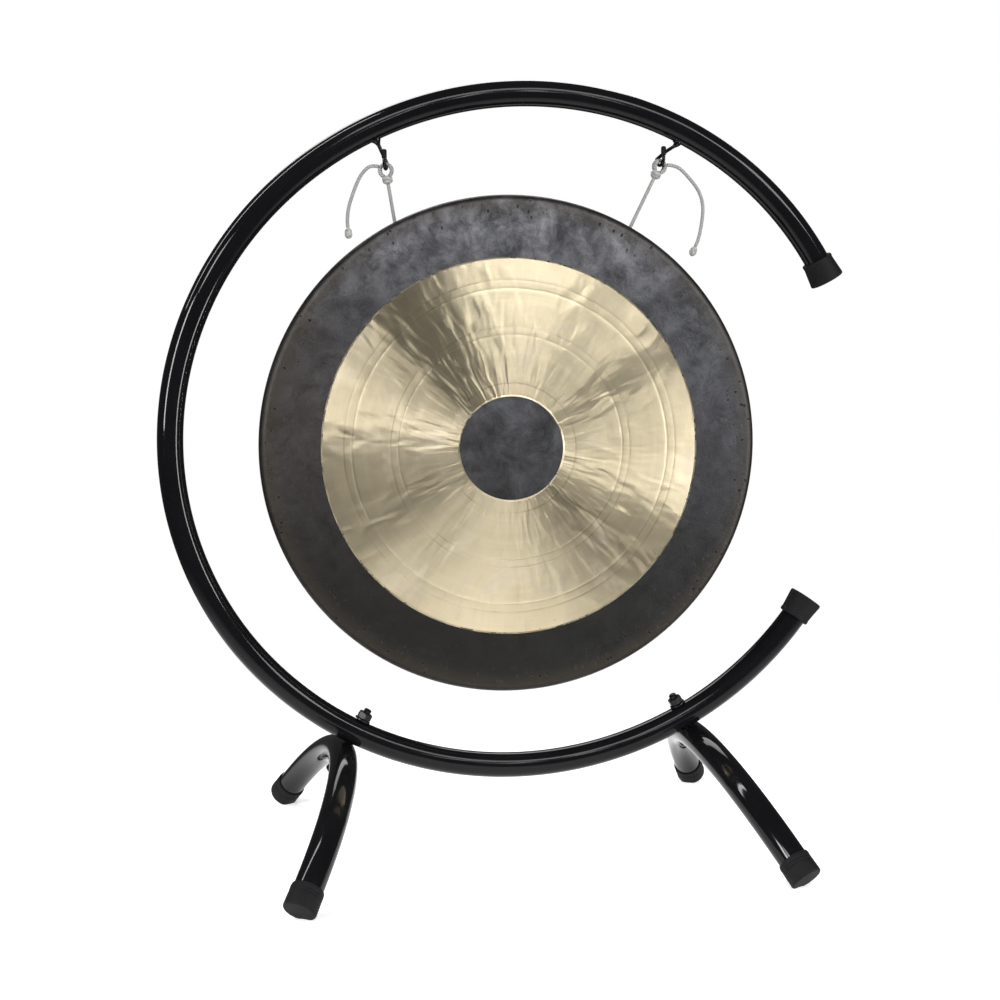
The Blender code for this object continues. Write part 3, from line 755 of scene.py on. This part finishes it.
def wound_knot(name, centre, direction, radius, half_height, turns, seed):
    """A knot of cord: strands wound round a core at changing slants, joined to one lumpy surface."""
    line = straight(centre, direction, Y_AXIS)
    heights = []
    shape = bmesh.new()
    grid = []
    shift = Vector((seed * 3.1, seed * 1.7, seed * 2.3))
    for number in range(KNOT_ROWS + 1):
        angle = math.pi * number / KNOT_ROWS
        along = -half_height * math.cos(angle)
        point, normal, binormal = line(along)
        if number in (0, KNOT_ROWS):
            grid.append([shape.verts.new(point)])
            heights.append(0.5)
            continue
        width = radius * math.sin(angle) ** 0.75
        row = []
        for turn, outward in spokes(normal, binormal, KNOT_SIDES):
            wrap = turns * angle + turn + 1.1 * math.sin(2.0 * turn + seed)
            height = 0.5 + 0.5 * math.cos(2.0 * wrap)
            lump = 0.5 + 0.5 * noise.noise((point + outward * width) * 420.0 + shift)
            reach = width * (0.82 + 0.16 * math.sqrt(height) + 0.04 * lump)
            row.append(shape.verts.new(point + outward * reach))
            heights.append(0.25 + 0.75 * math.sqrt(height))
        grid.append(row)
    skin_rows(shape, grid)
    mesh = finish_mesh(name, shape)
    store_relief(mesh, heights)
    return add_object(name, mesh, CORD_WEAVE, sharp=180.0)


# ---- places on the hooks and the gong
def hook_angle(side):
    return math.radians(90.0) + RING_TURN - SIDES[side] * HOOK_SPREAD


def hook_root(side):
    angle = hook_angle(side)
    return ring_point(angle) - ring_outward(angle) * RING_TUBE


def hook_seat(side):
    """Lowest point of the rod's centreline, where the cord's loop hangs."""
    return hook_root(side) + Vector((-SIDES[side] * HOOK_INSET[side], 0.0, -HOOK_DROP[side]))


def hook_bight(side):
    return hook_seat(side) + Z_AXIS * HOOK_BEND


def hook_opening(side):
    return Vector((SIDES[side] * math.sin(HOOK_OPENING_TURN), -math.cos(HOOK_OPENING_TURN), 0.0))


def hook_arm_top(side):
    return hook_bight(side) + hook_opening(side) * HOOK_BEND


def rim_reach(depth):
    """Outer radius of the turned-back rim at a depth behind the shoulder."""
    share = (depth - GONG_SHOULDER) / (GONG_DEPTH - GONG_SHOULDER)
    return GONG_RADIUS + (GONG_RIM_RADIUS - GONG_RADIUS) * share


def hole_local(side):
    """Middle of a hanging hole in the gong's own axes, whose y is nought at the holes."""
    angle = math.radians(90.0) - SIDES[side] * HOLE_SPREAD
    reach = rim_reach(HOLE_DEPTH) - 0.5 * GONG_RIM_WALL
    return Vector((reach * math.cos(angle), 0.0, reach * math.sin(angle)))


def gong_matrix():
    """Gong's own axes in the world: x to its right, y into its back, z up."""
    pivot = Vector((0.0, 0.0, hole_local("left").z))
    turn = Matrix.Rotation(GONG_TURN, 4, "Z") @ Matrix.Rotation(GONG_LEAN, 4, "X")
    return Matrix.Translation(GONG_CENTRE + pivot) @ turn @ Matrix.Translation(-pivot)


def hole_point(side):
    return gong_matrix() @ (Matrix.Rotation(-HOLE_ROLL, 3, "Y") @ hole_local(side))


def hole_outward(side):
    outward = Matrix.Rotation(-HOLE_ROLL, 3, "Y") @ hole_local(side)
    return gong_matrix().to_3x3() @ outward.normalized()


def cord_direction(side):
    """From the hook's seat to the gong's hanging hole."""
    return (hole_point(side) - hook_seat(side)).normalized()


def make_tail(side):
    """Loose end of the cord beside the hook, with a knot tied in its end."""
    route = [Vector(point) for point in TAIL_ROUTES[side]]
    points = smooth_route(route, TAIL_POINTS)
    direction = (points[-1] - points[-2]).normalized()
    centre = points[-1] + direction * (GAP + 0.5 * TAIL_KNOT_HEIGHT)
    knot = wound_knot(f"{side}_tail_knot_wound", centre, direction, TAIL_KNOT_RADIUS,
                      0.5 * TAIL_KNOT_HEIGHT, 2.0, SIDES[side] + 4.0)
    place(knot, "cords", f"{side}_tail_knot")
    tail = braided(f"{side}_tail_braid", points, CORD, Y_AXIS)
    place(tail, "cords", f"{side}_cord_tail")


def make_hook_knot(side):
    """Loop over the hook, drawn shut by a round knot under it."""
    seat = hook_seat(side)
    down = cord_direction(side)
    thread = hook_opening(side)
    across = down.cross(thread).normalized()
    centre = seat + down * (LOOP_RADIUS - CORD - HOOK_ROD - LOOP_FIT)
    for turn, tilt in enumerate(LOOP_TILTS):
        swing = Matrix.Rotation(math.radians(tilt), 3, down)
        loop = []
        for number in range(BEND_STEPS + 1):
            angle = LOOP_START + (LOOP_END - LOOP_START) * number / BEND_STEPS
            loop.append(centre + swing @ (across * math.cos(angle) + down * math.sin(angle)) * LOOP_RADIUS)
        strand = braided(f"{side}_loop_braid_{turn}", loop, CORD, swing @ across.cross(down))
        place(strand, "cords", f"{side}_hook_knot")
    knot = wound_knot(f"{side}_hook_knot_wound", seat + down * HOOK_KNOT_DROP, down, HOOK_KNOT_RADIUS,
                      0.5 * HOOK_KNOT_HEIGHT, 2.5, SIDES[side] + 9.0)
    place(knot, "cords", f"{side}_hook_knot")


def make_hanging_cord(side):
    """Taut cord from the hook's knot through the gong's hole, with its stopper knot behind."""
    seat = hook_seat(side)
    down = cord_direction(side)
    start = seat + down * (HOOK_KNOT_DROP + 0.5 * HOOK_KNOT_HEIGHT - CORD)
    stopper = hole_point(side) + down * STOPPER_DROP
    end = stopper - down * (STOPPER_RADIUS - CORD)
    points = [start.lerp(end, number / 8) for number in range(9)]
    cord = braided(f"{side}_hanging_braid", points, CORD, Y_AXIS)
    place(cord, "cords", f"{side}_hanging_cord")
    knot = wound_knot(f"{side}_stopper_knot_wound", stopper, down, STOPPER_RADIUS,
                      STOPPER_RADIUS, 2.0, SIDES[side] + 2.0)
    place(knot, "cords", f"{side}_stopper_knot")


for SIDE in SIDES:
    make_tail(SIDE)
    make_hook_knot(SIDE)
    make_hanging_cord(SIDE)


# ---- ring and its ferrules
def lumpy(size, scale, seed=0.0):
    """Slight hand-made unevenness for a radius."""
    shift = Vector((seed, seed * 0.7, -seed))
    return lambda point: 1.0 + size * noise.noise(point * scale + shift)


def make_ring():
    span = 2.0 * math.pi + RING_LOWER_END - RING_UPPER_END
    angles = [RING_UPPER_END + span * number / RING_STEPS for number in range(RING_STEPS + 1)]
    outside = [(ring_frame(angle), RING_TUBE) for angle in angles]
    inside = [(ring_frame(angle), RING_TUBE - RING_WALL) for angle in reversed(angles)]
    mesh = skin_mesh("ring_bent_tube", outside + inside, TUBE_SIDES, closed=True, relief=lumpy(*TUBE_LUMPS))
    ring = add_object("ring_bent_tube", mesh, ENAMEL)
    holes = [(ring_point(bolt_angle(side)), bolt_outward(side)) for side in SIDES]
    drill(ring, holes, BOLT_HOLE, 2.0 * RING_TUBE)
    place(ring, "stand", "ring_tube")


def make_ring_cap(name, angle, turn, node):
    """Flared rubber ferrule with a beaded mouth, a moulding line and a rounded end."""
    cover = RING_CAP_LENGTH - RING_CAP_FLOOR - GAP
    middle = angle - turn * 0.5 * cover / ring_reach(angle)
    point, normal, _ = ring_frame(middle)
    line = straight(point, Y_AXIS.cross(normal) * turn, normal)
    mouth = -0.5 * cover
    end = 0.5 * cover + 3.0 * GAP + RING_CAP_FLOOR
    length = end - mouth
    flare = [(0.0, RING_CAP_MOUTH), (0.12, RING_CAP_MOUTH + 0.0004), (0.16, RING_CAP_MOUTH - 0.0001),
             (0.45, RING_CAP_MOUTH + 0.0006), (0.80, RING_CAP_END - 0.0004), (0.90, RING_CAP_END)]
    profile = [(mouth, RING_TUBE + 0.0004)]
    profile += [(mouth + share * length, radius) for share, radius in flare]
    profile += [(end, RING_CAP_END - 0.0002), (end, 0.0)]
    mesh = turned(name, line, rounded(profile, 0.0016), CAP_SIDES, relief=lumpy(*FERRULE_LUMPS, 3.0))
    place(add_object(name, mesh, RUBBER), "stand", node)


make_ring()
make_ring_cap("upper_ferrule", RING_UPPER_END, -1.0, "ring_end_cap_upper")
make_ring_cap("lower_ferrule", RING_LOWER_END, 1.0, "ring_end_cap_lower")


# ---- legs, feet and fasteners
def make_leg(side):
    places = [-LEG_REACH + 2.0 * LEG_REACH * number / LEG_STEPS for number in range(LEG_STEPS + 1)]
    outside = [(leg_frame(side, where), LEG_TUBE) for where in places]
    inside = [(leg_frame(side, where), LEG_TUBE - LEG_WALL) for where in reversed(places)]
    name = f"{side}_leg_bent_tube"
    mesh = skin_mesh(name, outside + inside, TUBE_SIDES, closed=True, relief=lumpy(*TUBE_LUMPS, 5.0))
    item = add_object(name, mesh, ENAMEL)
    drill(item, [(leg_crown(side), bolt_outward(side))], BOLT_HOLE, 1.5 * LEG_TUBE)
    place(item, f"{side}_leg", f"{side}_leg_tube")


def make_foot(side, where, sign):
    """Rubber foot with a rounded lip and two grooves, worn flat on the floor."""
    point, across, _ = leg_frame(side, sign * LEG_REACH)
    inboard = leg_frame(side, sign * (LEG_REACH - LEG_END_STRAIGHT))[0]
    line = straight(point, point - inboard, across)
    end = GAP + LEG_CAP_FLOOR
    mouth = end - LEG_CAP_LENGTH
    profile = [(mouth, LEG_TUBE + 0.0002), (mouth, LEG_TUBE + 0.0012),
               (mouth + 0.0025, LEG_CAP_RADIUS - 0.0001)]
    for groove in (0.0050, 0.0080):
        profile += [(mouth + groove, LEG_CAP_RADIUS - 0.0002),
                    (mouth + groove + 0.0005, LEG_CAP_RADIUS - 0.0008),
                    (mouth + groove + 0.0010, LEG_CAP_RADIUS - 0.0002)]
    profile += [(end - 0.0015, LEG_CAP_RADIUS), (end, LEG_CAP_RADIUS - 0.0012), (end, 0.0)]
    name = f"{side}_{where}_foot"
    mesh = turned(name, line, rounded(profile, 0.0008), CAP_SIDES, relief=lumpy(*FOOT_LUMPS, 9.0))
    for vertex in mesh.vertices:
        vertex.co.z = max(vertex.co.z, 0.0)
    item = add_object(name, mesh, RUBBER)
    place(item, f"{side}_leg", f"{side}_{where}_foot_cap")


def make_nut(side, line, start):
    """Hexagonal nut with round-chamfered corners on both faces."""
    corner = NUT_ACROSS_FLATS / math.sqrt(3.0)
    shape = bmesh.new()
    rows = []
    for share in (0.0, 0.06, 0.13, 0.25, 0.5, 0.75, 0.87, 0.94, 1.0):
        point, normal, binormal = line(start + share * NUT_HEIGHT)
        chamfer = corner - NUT_CHAMFER * max(0.0, abs(2.0 * share - 1.0) - 0.70) / 0.30
        row = []
        for angle, outward in spokes(normal, binormal, NUT_SIDES):
            flat = (angle + math.pi / 6.0) % (math.pi / 3.0) - math.pi / 6.0
            reach = min(0.5 * NUT_ACROSS_FLATS / math.cos(math.pi / 6.0 - abs(flat)), chamfer)
            row.append(shape.verts.new(point + outward * reach))
        rows.append(row)
    for distance, where in ((start, 0), (start + NUT_HEIGHT, len(rows))):
        point, normal, binormal = line(distance)
        bore = BOLT_RADIUS + 0.0002
        rows.insert(where, [shape.verts.new(point + outward * bore)
                            for _, outward in spokes(normal, binormal, NUT_SIDES)])
    skin_rows(shape, rows, closed=True)
    item = add_object(f"{side}_hex_nut", finish_mesh(f"{side}_hex_nut", shape), STEEL, sharp=25.0)
    place(item, "stand", f"{side}_leg_nut")


def make_fasteners(side):
    centre = ring_point(bolt_angle(side))
    line = straight(centre, -bolt_outward(side), Y_AXIS)
    washer_start = RING_TUBE + NUT_WASHER_FIT
    nut_start = washer_start + WASHER_THICKNESS + GAP
    tip = nut_start + NUT_HEIGHT + BOLT_TIP
    under_leg = -(RING_TUBE + GAP + 2.0 * LEG_TUBE + HEAD_WASHER_FIT)
    head = under_leg - WASHER_THICKNESS - GAP
    for name, start in (("nut", washer_start), ("head", under_leg - WASHER_THICKNESS)):
        middle = BOLT_RADIUS + 0.0004
        profile = [(start, middle), (start, WASHER_RADIUS), (start + WASHER_THICKNESS, WASHER_RADIUS),
                   (start + WASHER_THICKNESS, middle)]
        stations = [(line(distance), radius) for distance, radius in rounded(profile, 0.0003)]
        washer = f"{side}_{name}_flat_washer"
        item = add_object(washer, skin_mesh(washer, stations, CAP_SIDES, closed=True), STEEL)
        place(item, "stand", f"{side}_{name}_washer")
    make_nut(side, line, nut_start)
    profile = [(head - BOLT_HEAD_HEIGHT, 0.0)]
    for number in range(1, 9):
        angle = math.radians(90.0) * number / 8
        crown = head - HEAD_SKIRT - (BOLT_HEAD_HEIGHT - HEAD_SKIRT) * math.cos(angle)
        profile.append((crown, BOLT_HEAD_RADIUS * math.sin(angle)))
    profile += [(head, BOLT_HEAD_RADIUS), (head, BOLT_RADIUS)]
    distance = head
    while distance < tip - 0.0010:
        distance += 0.25 * THREAD_PITCH
        depth = 0.5 - 0.5 * math.cos(2.0 * math.pi * distance / THREAD_PITCH)
        profile.append((distance, BOLT_RADIUS - THREAD_DEPTH * depth))
    profile += [(tip, BOLT_RADIUS - 0.0010), (tip, 0.0)]
    mesh = turned(f"{side}_threaded_bolt", line, profile, TUBE_SIDES)
    item = add_object(f"{side}_threaded_bolt", mesh, STEEL, sharp=60.0)
    place(item, "stand", f"{side}_leg_bolt")


# ---- hooks
def make_hook(side):
    """Bent rod with a weld fillet under the ring and a soft sleeve on its free end."""
    root = hook_root(side)
    opening = hook_opening(side)
    inward = -ring_outward(hook_angle(side))
    stem = hook_bight(side) - opening * HOOK_BEND
    guides = [root - inward * HOOK_ROD, root + inward * 0.0030, root.lerp(stem, 0.55), stem]
    route = smooth_route(guides, BEND_STEPS)[:-1]
    for number in range(BEND_STEPS + 1):
        angle = math.pi * number / BEND_STEPS
        route.append(hook_bight(side) + (opening * -math.cos(angle) - Z_AXIS * math.sin(angle)) * HOOK_BEND)
    route += [hook_arm_top(side) + Z_AXIS * HOOK_FREE_END * number / 6 for number in range(1, 7)]
    frames = route_frames(route, Y_AXIS)
    stations = [(frames[0], 0.0)]
    for station in frames:
        depth = (station[0] - root).length
        weld = max(0.0, 1.0 - depth / WELD_REACH) ** 1.6
        stations.append((station, HOOK_ROD + WELD_HEIGHT * weld))
    stations.append((frames[-1], 0.0))
    mesh = skin_mesh(f"{side}_bent_hook", stations, ROD_SIDES, relief=lumpy(*HOOK_LUMPS, SIDES[side]))
    place(add_object(f"{side}_bent_hook", mesh, ENAMEL, sharp=60.0), "stand", f"{side}_hook")
    line = straight(hook_arm_top(side), Z_AXIS, Y_AXIS)
    top = HOOK_FREE_END + GAP + 0.0012
    start = top - SLEEVE_LENGTH
    profile = [(start, HOOK_ROD), (start, SLEEVE_RADIUS - 0.0002), (start + 0.0006, SLEEVE_RADIUS),
               (top - 0.0012, SLEEVE_RADIUS), (top, SLEEVE_RADIUS - 0.0010), (top, 0.0)]
    name = f"{side}_soft_sleeve"
    mesh = turned(name, line, rounded(profile, 0.0006), ROD_SIDES, relief=lumpy(*SLEEVE_LUMPS, 2.0))
    place(add_object(name, mesh, VINYL), "stand", f"{side}_hook_sleeve")


for SIDE in SIDES:
    make_leg(SIDE)
    make_foot(SIDE, "front", -1.0)
    make_foot(SIDE, "rear", 1.0)
    make_fasteners(SIDE)
    make_hook(SIDE)


# ---- gong
def face_drop(reach):
    """Depth of the face behind the shoulder's front at a radius: dome, shaved band and its grooves."""
    share = min(reach / GONG_FLAT, 1.0)
    depth = -GONG_DOME * (1.0 - share ** 2)
    shaved = smooth_step(reach, EYE_RADIUS - BEVEL, EYE_RADIUS + BEVEL)
    shaved *= 1.0 - smooth_step(reach, BAND_RADIUS - BEVEL, BAND_RADIUS + BEVEL)
    depth += SHAVED * shaved
    for radius, groove in LATHE_LINES.items():
        depth += groove * math.exp(-((reach - radius) / LATHE_LINE_WIDTH) ** 2)
    return depth


def smooth_step(value, low, high):
    share = min(1.0, max(0.0, (value - low) / (high - low)))
    return share * share * (3.0 - 2.0 * share)


def hammered(reach, angle):
    """Shallow hammer facets: small on the shaved band, deeper towards the rim and over the eye."""
    point = Vector((reach * math.cos(angle), reach * math.sin(angle), 0.0))
    fine = noise.noise(point * FINE_MARKS) * FINE_DEPTH
    broad = noise.noise(point * BROAD_MARKS + BROAD_SHIFT) * BROAD_DEPTH
    outer = smooth_step(reach, BAND_RADIUS, BAND_RADIUS + 0.015)
    inner = 1.0 - smooth_step(reach, EYE_RADIUS - 0.010, EYE_RADIUS)
    radial = Vector((math.cos(angle) * RIPPLE_TURNS, math.sin(angle) * RIPPLE_TURNS, reach * RIPPLE_MARKS))
    ripple = noise.noise(radial) * RIPPLE_DEPTH
    return ripple + broad + fine * (0.5 + outer + inner)


def face_radii():
    """Radii of the face's rings, closer together at the edges of the zones and at the grooves."""
    radii = set(round(GONG_FLAT * number / FACE_RINGS, 6) for number in range(1, FACE_RINGS + 1))
    for edge in (EYE_RADIUS, BAND_RADIUS):
        radii.update(round(edge + step * BEVEL, 6) for step in (-1.6, -1.0, -0.5, 0.0, 0.5, 1.0, 1.6))
    for line in LATHE_LINES:
        radii.update(round(line + step * LATHE_LINE_WIDTH, 6) for step in (-1.4, -0.7, 0.0, 0.7, 1.4))
    return sorted(radius for radius in radii if radius <= GONG_FLAT)


def gong_section():
    """Depth, radius and zone along the gong's surface, from the face's middle to the back's middle."""
    section = [(face_drop(radius), radius, zone_of(radius)) for radius in face_radii()]
    for number in range(1, 13):
        angle = math.radians(90.0) * number / 12
        depth = GONG_SHOULDER * (1.0 - math.cos(angle))
        section.append((depth, GONG_FLAT + GONG_SHOULDER * math.sin(angle), "edge"))
    for number in range(1, 15):
        depth = GONG_SHOULDER + (GONG_DEPTH - RIM_LIP - GONG_SHOULDER) * number / 14
        section.append((depth, rim_reach(depth), "edge"))
    lip = rim_reach(GONG_DEPTH)
    section += [(GONG_DEPTH - 0.0003, lip - 0.0005, "edge"), (GONG_DEPTH, lip - 0.5 * GONG_RIM_WALL, "edge"),
                (GONG_DEPTH - 0.0003, lip - GONG_RIM_WALL + 0.0005, "back")]
    for number in range(13):
        depth = GONG_DEPTH - RIM_LIP - (GONG_DEPTH - RIM_LIP - GONG_SHOULDER) * number / 12
        section.append((depth, rim_reach(depth) - GONG_RIM_WALL, "back"))
    bend = GONG_SHOULDER - GONG_RIM_WALL
    for number in range(1, 8):
        angle = math.radians(90.0) * (1.0 - number / 8)
        section.append((GONG_SHOULDER - bend * math.cos(angle), GONG_FLAT + bend * math.sin(angle), "back"))
    for number in range(1, BACK_RINGS):
        radius = GONG_FLAT * (1.0 - number / BACK_RINGS)
        section.append((GONG_FACE_WALL - GONG_DOME * (1.0 - (radius / GONG_FLAT) ** 2), radius, "back"))
    return section


def zone_of(radius):
    if min(abs(radius - EYE_RADIUS), abs(radius - BAND_RADIUS)) < 0.7 * BEVEL:
        return "cut"
    return "brass" if EYE_RADIUS < radius < BAND_RADIUS else "oxide"


ZONES = {"brass": 0, "oxide": 1, "cut": 2, "edge": 1, "back": 3}


def make_gong():
    """The dish in its own axes, x right, y up and z out of the face, placed by its own matrix."""
    shape = bmesh.new()
    rows = [[shape.verts.new((0.0, 0.0, HOLE_DEPTH - face_drop(0.0)))]]
    section = gong_section()
    for depth, radius, zone in section:
        row = []
        for number in range(FACE_SECTORS):
            angle = 2.0 * math.pi * number / FACE_SECTORS
            lift = hammered(radius, angle)
            if zone in ("edge", "back"):
                lift *= 0.5
            row.append(shape.verts.new((radius * math.cos(angle), radius * math.sin(angle),
                                        HOLE_DEPTH - depth + lift)))
        rows.append(row)
    rows.append([shape.verts.new((0.0, 0.0, HOLE_DEPTH - GONG_FACE_WALL + GONG_DOME))])
    skin_rows(shape, rows)
    shape.faces.ensure_lookup_table()
    zones = [zone for _, _, zone in section] + [section[-1][2]]
    for index, zone in enumerate(zones):
        for face in shape.faces[index * FACE_SECTORS:(index + 1) * FACE_SECTORS]:
            face.material_index = ZONES[zone]
    mesh = finish_mesh("gong_dish", shape)
    item = add_object("gong_dish", mesh, BRASS, OXIDE, CUT_EDGE, BACK_OXIDE, sharp=60.0)
    stand_up = Matrix(((1, 0, 0, 0), (0, 0, -1, 0), (0, 1, 0, 0), (0, 0, 0, 1)))
    item.matrix_world = gong_matrix() @ stand_up
    drill(item, [(hole_point(side), hole_outward(side)) for side in SIDES], HOLE_RADIUS, HOLE_DRILL)
    place(item, "gong", "gong_disc")


make_gong()


# ---- floor, lights and surroundings
AIM = (0.0, 0.0, 0.40)
GREY_LEVEL = 0.058
PANES = 4

# Name, place, width, height and power of each lamp
LAMPS = [
    ("softbox_over", (0.50, -2.1, 2.1), 2.2, 0.6, 32.0),
    ("softbox_upper_right", (1.75, -1.9, 1.65), 0.7, 0.7, 20.0),
    ("softbox_upper_left", (-1.75, -1.9, 1.60), 0.4, 0.4, 12.0),
    ("softbox_left", (-2.3, -1.5, 0.95), 0.4, 1.1, 50.0),
    ("softbox_right", (2.1, -1.6, 0.24), 0.4, 1.7, 50.0),
    ("strip_upper_left", (-1.35, 0.12, 1.95), 0.16, 1.9, 22.0),
    *((f"window_pane_{pane}", (0.05 + 0.20 * pane, -2.2, 1.25 + 0.10 * (pane % 2)), 0.06, 0.50, 1.0)
      for pane in range(PANES)),
    ("softbox_behind", (0.0, 2.0, 2.2), 2.0, 1.0, 30.0),
]


def make_floor():
    """Wide pale floor under the feet, fading into the pale surroundings."""
    shape = bmesh.new()
    bmesh.ops.create_grid(shape, x_segments=1, y_segments=1, size=6.0)
    mesh = bpy.data.meshes.new("floor")
    shape.to_mesh(mesh)
    shape.free()
    finish = Finish("pale_floor")
    reach, _ = finish.polar()
    grain = finish.noise(35.0, 3.0)
    finish.set(Base_Color=finish.mix(grain, (0.95, 0.95, 0.95), (0.90, 0.90, 0.90)), Roughness=0.9,
               Specular_IOR_Level=0.1, Emission_Color=(1.0, 1.0, 1.0, 1.0), Emission_Strength=0.45,
               Alpha=finish.span(reach, 0.30, 0.95, 1.0, 0.0))
    mesh.materials.append(finish.material)
    floor = new_object("floor", mesh)


def softbox(name, centre, width, height, power):
    """A soft rectangular lamp aimed at the gong."""
    data = bpy.data.lights.new(name, "AREA")
    data.shape = "RECTANGLE"
    data.size = width
    data.size_y = height
    data.energy = power
    lamp = new_object(name, data)
    lamp.location = centre
    lamp.rotation_euler = (Vector(AIM) - Vector(centre)).to_track_quat("-Z", "Y").to_euler()


def make_world():
    """Dim grey light all round, which the camera sees as white."""
    world = bpy.data.worlds.new("studio")
    world.use_nodes = True
    tree = world.node_tree
    surface = tree.nodes["Background"]
    path = tree.nodes.new("ShaderNodeLightPath")
    level = tree.nodes.new("ShaderNodeMix")
    level.data_type = "RGBA"
    level.inputs[6].default_value = (GREY_LEVEL, GREY_LEVEL, GREY_LEVEL, 1.0)
    level.inputs[7].default_value = (1.0, 1.0, 1.0, 1.0)
    tree.links.new(path.outputs["Is Camera Ray"], level.inputs[0])
    tree.links.new(level.outputs[2], surface.inputs["Color"])
    bpy.context.scene.world = world


make_floor()
for LAMP in LAMPS:
    softbox(*LAMP)
make_world()
bpy.context.scene.view_settings.view_transform = "Standard"
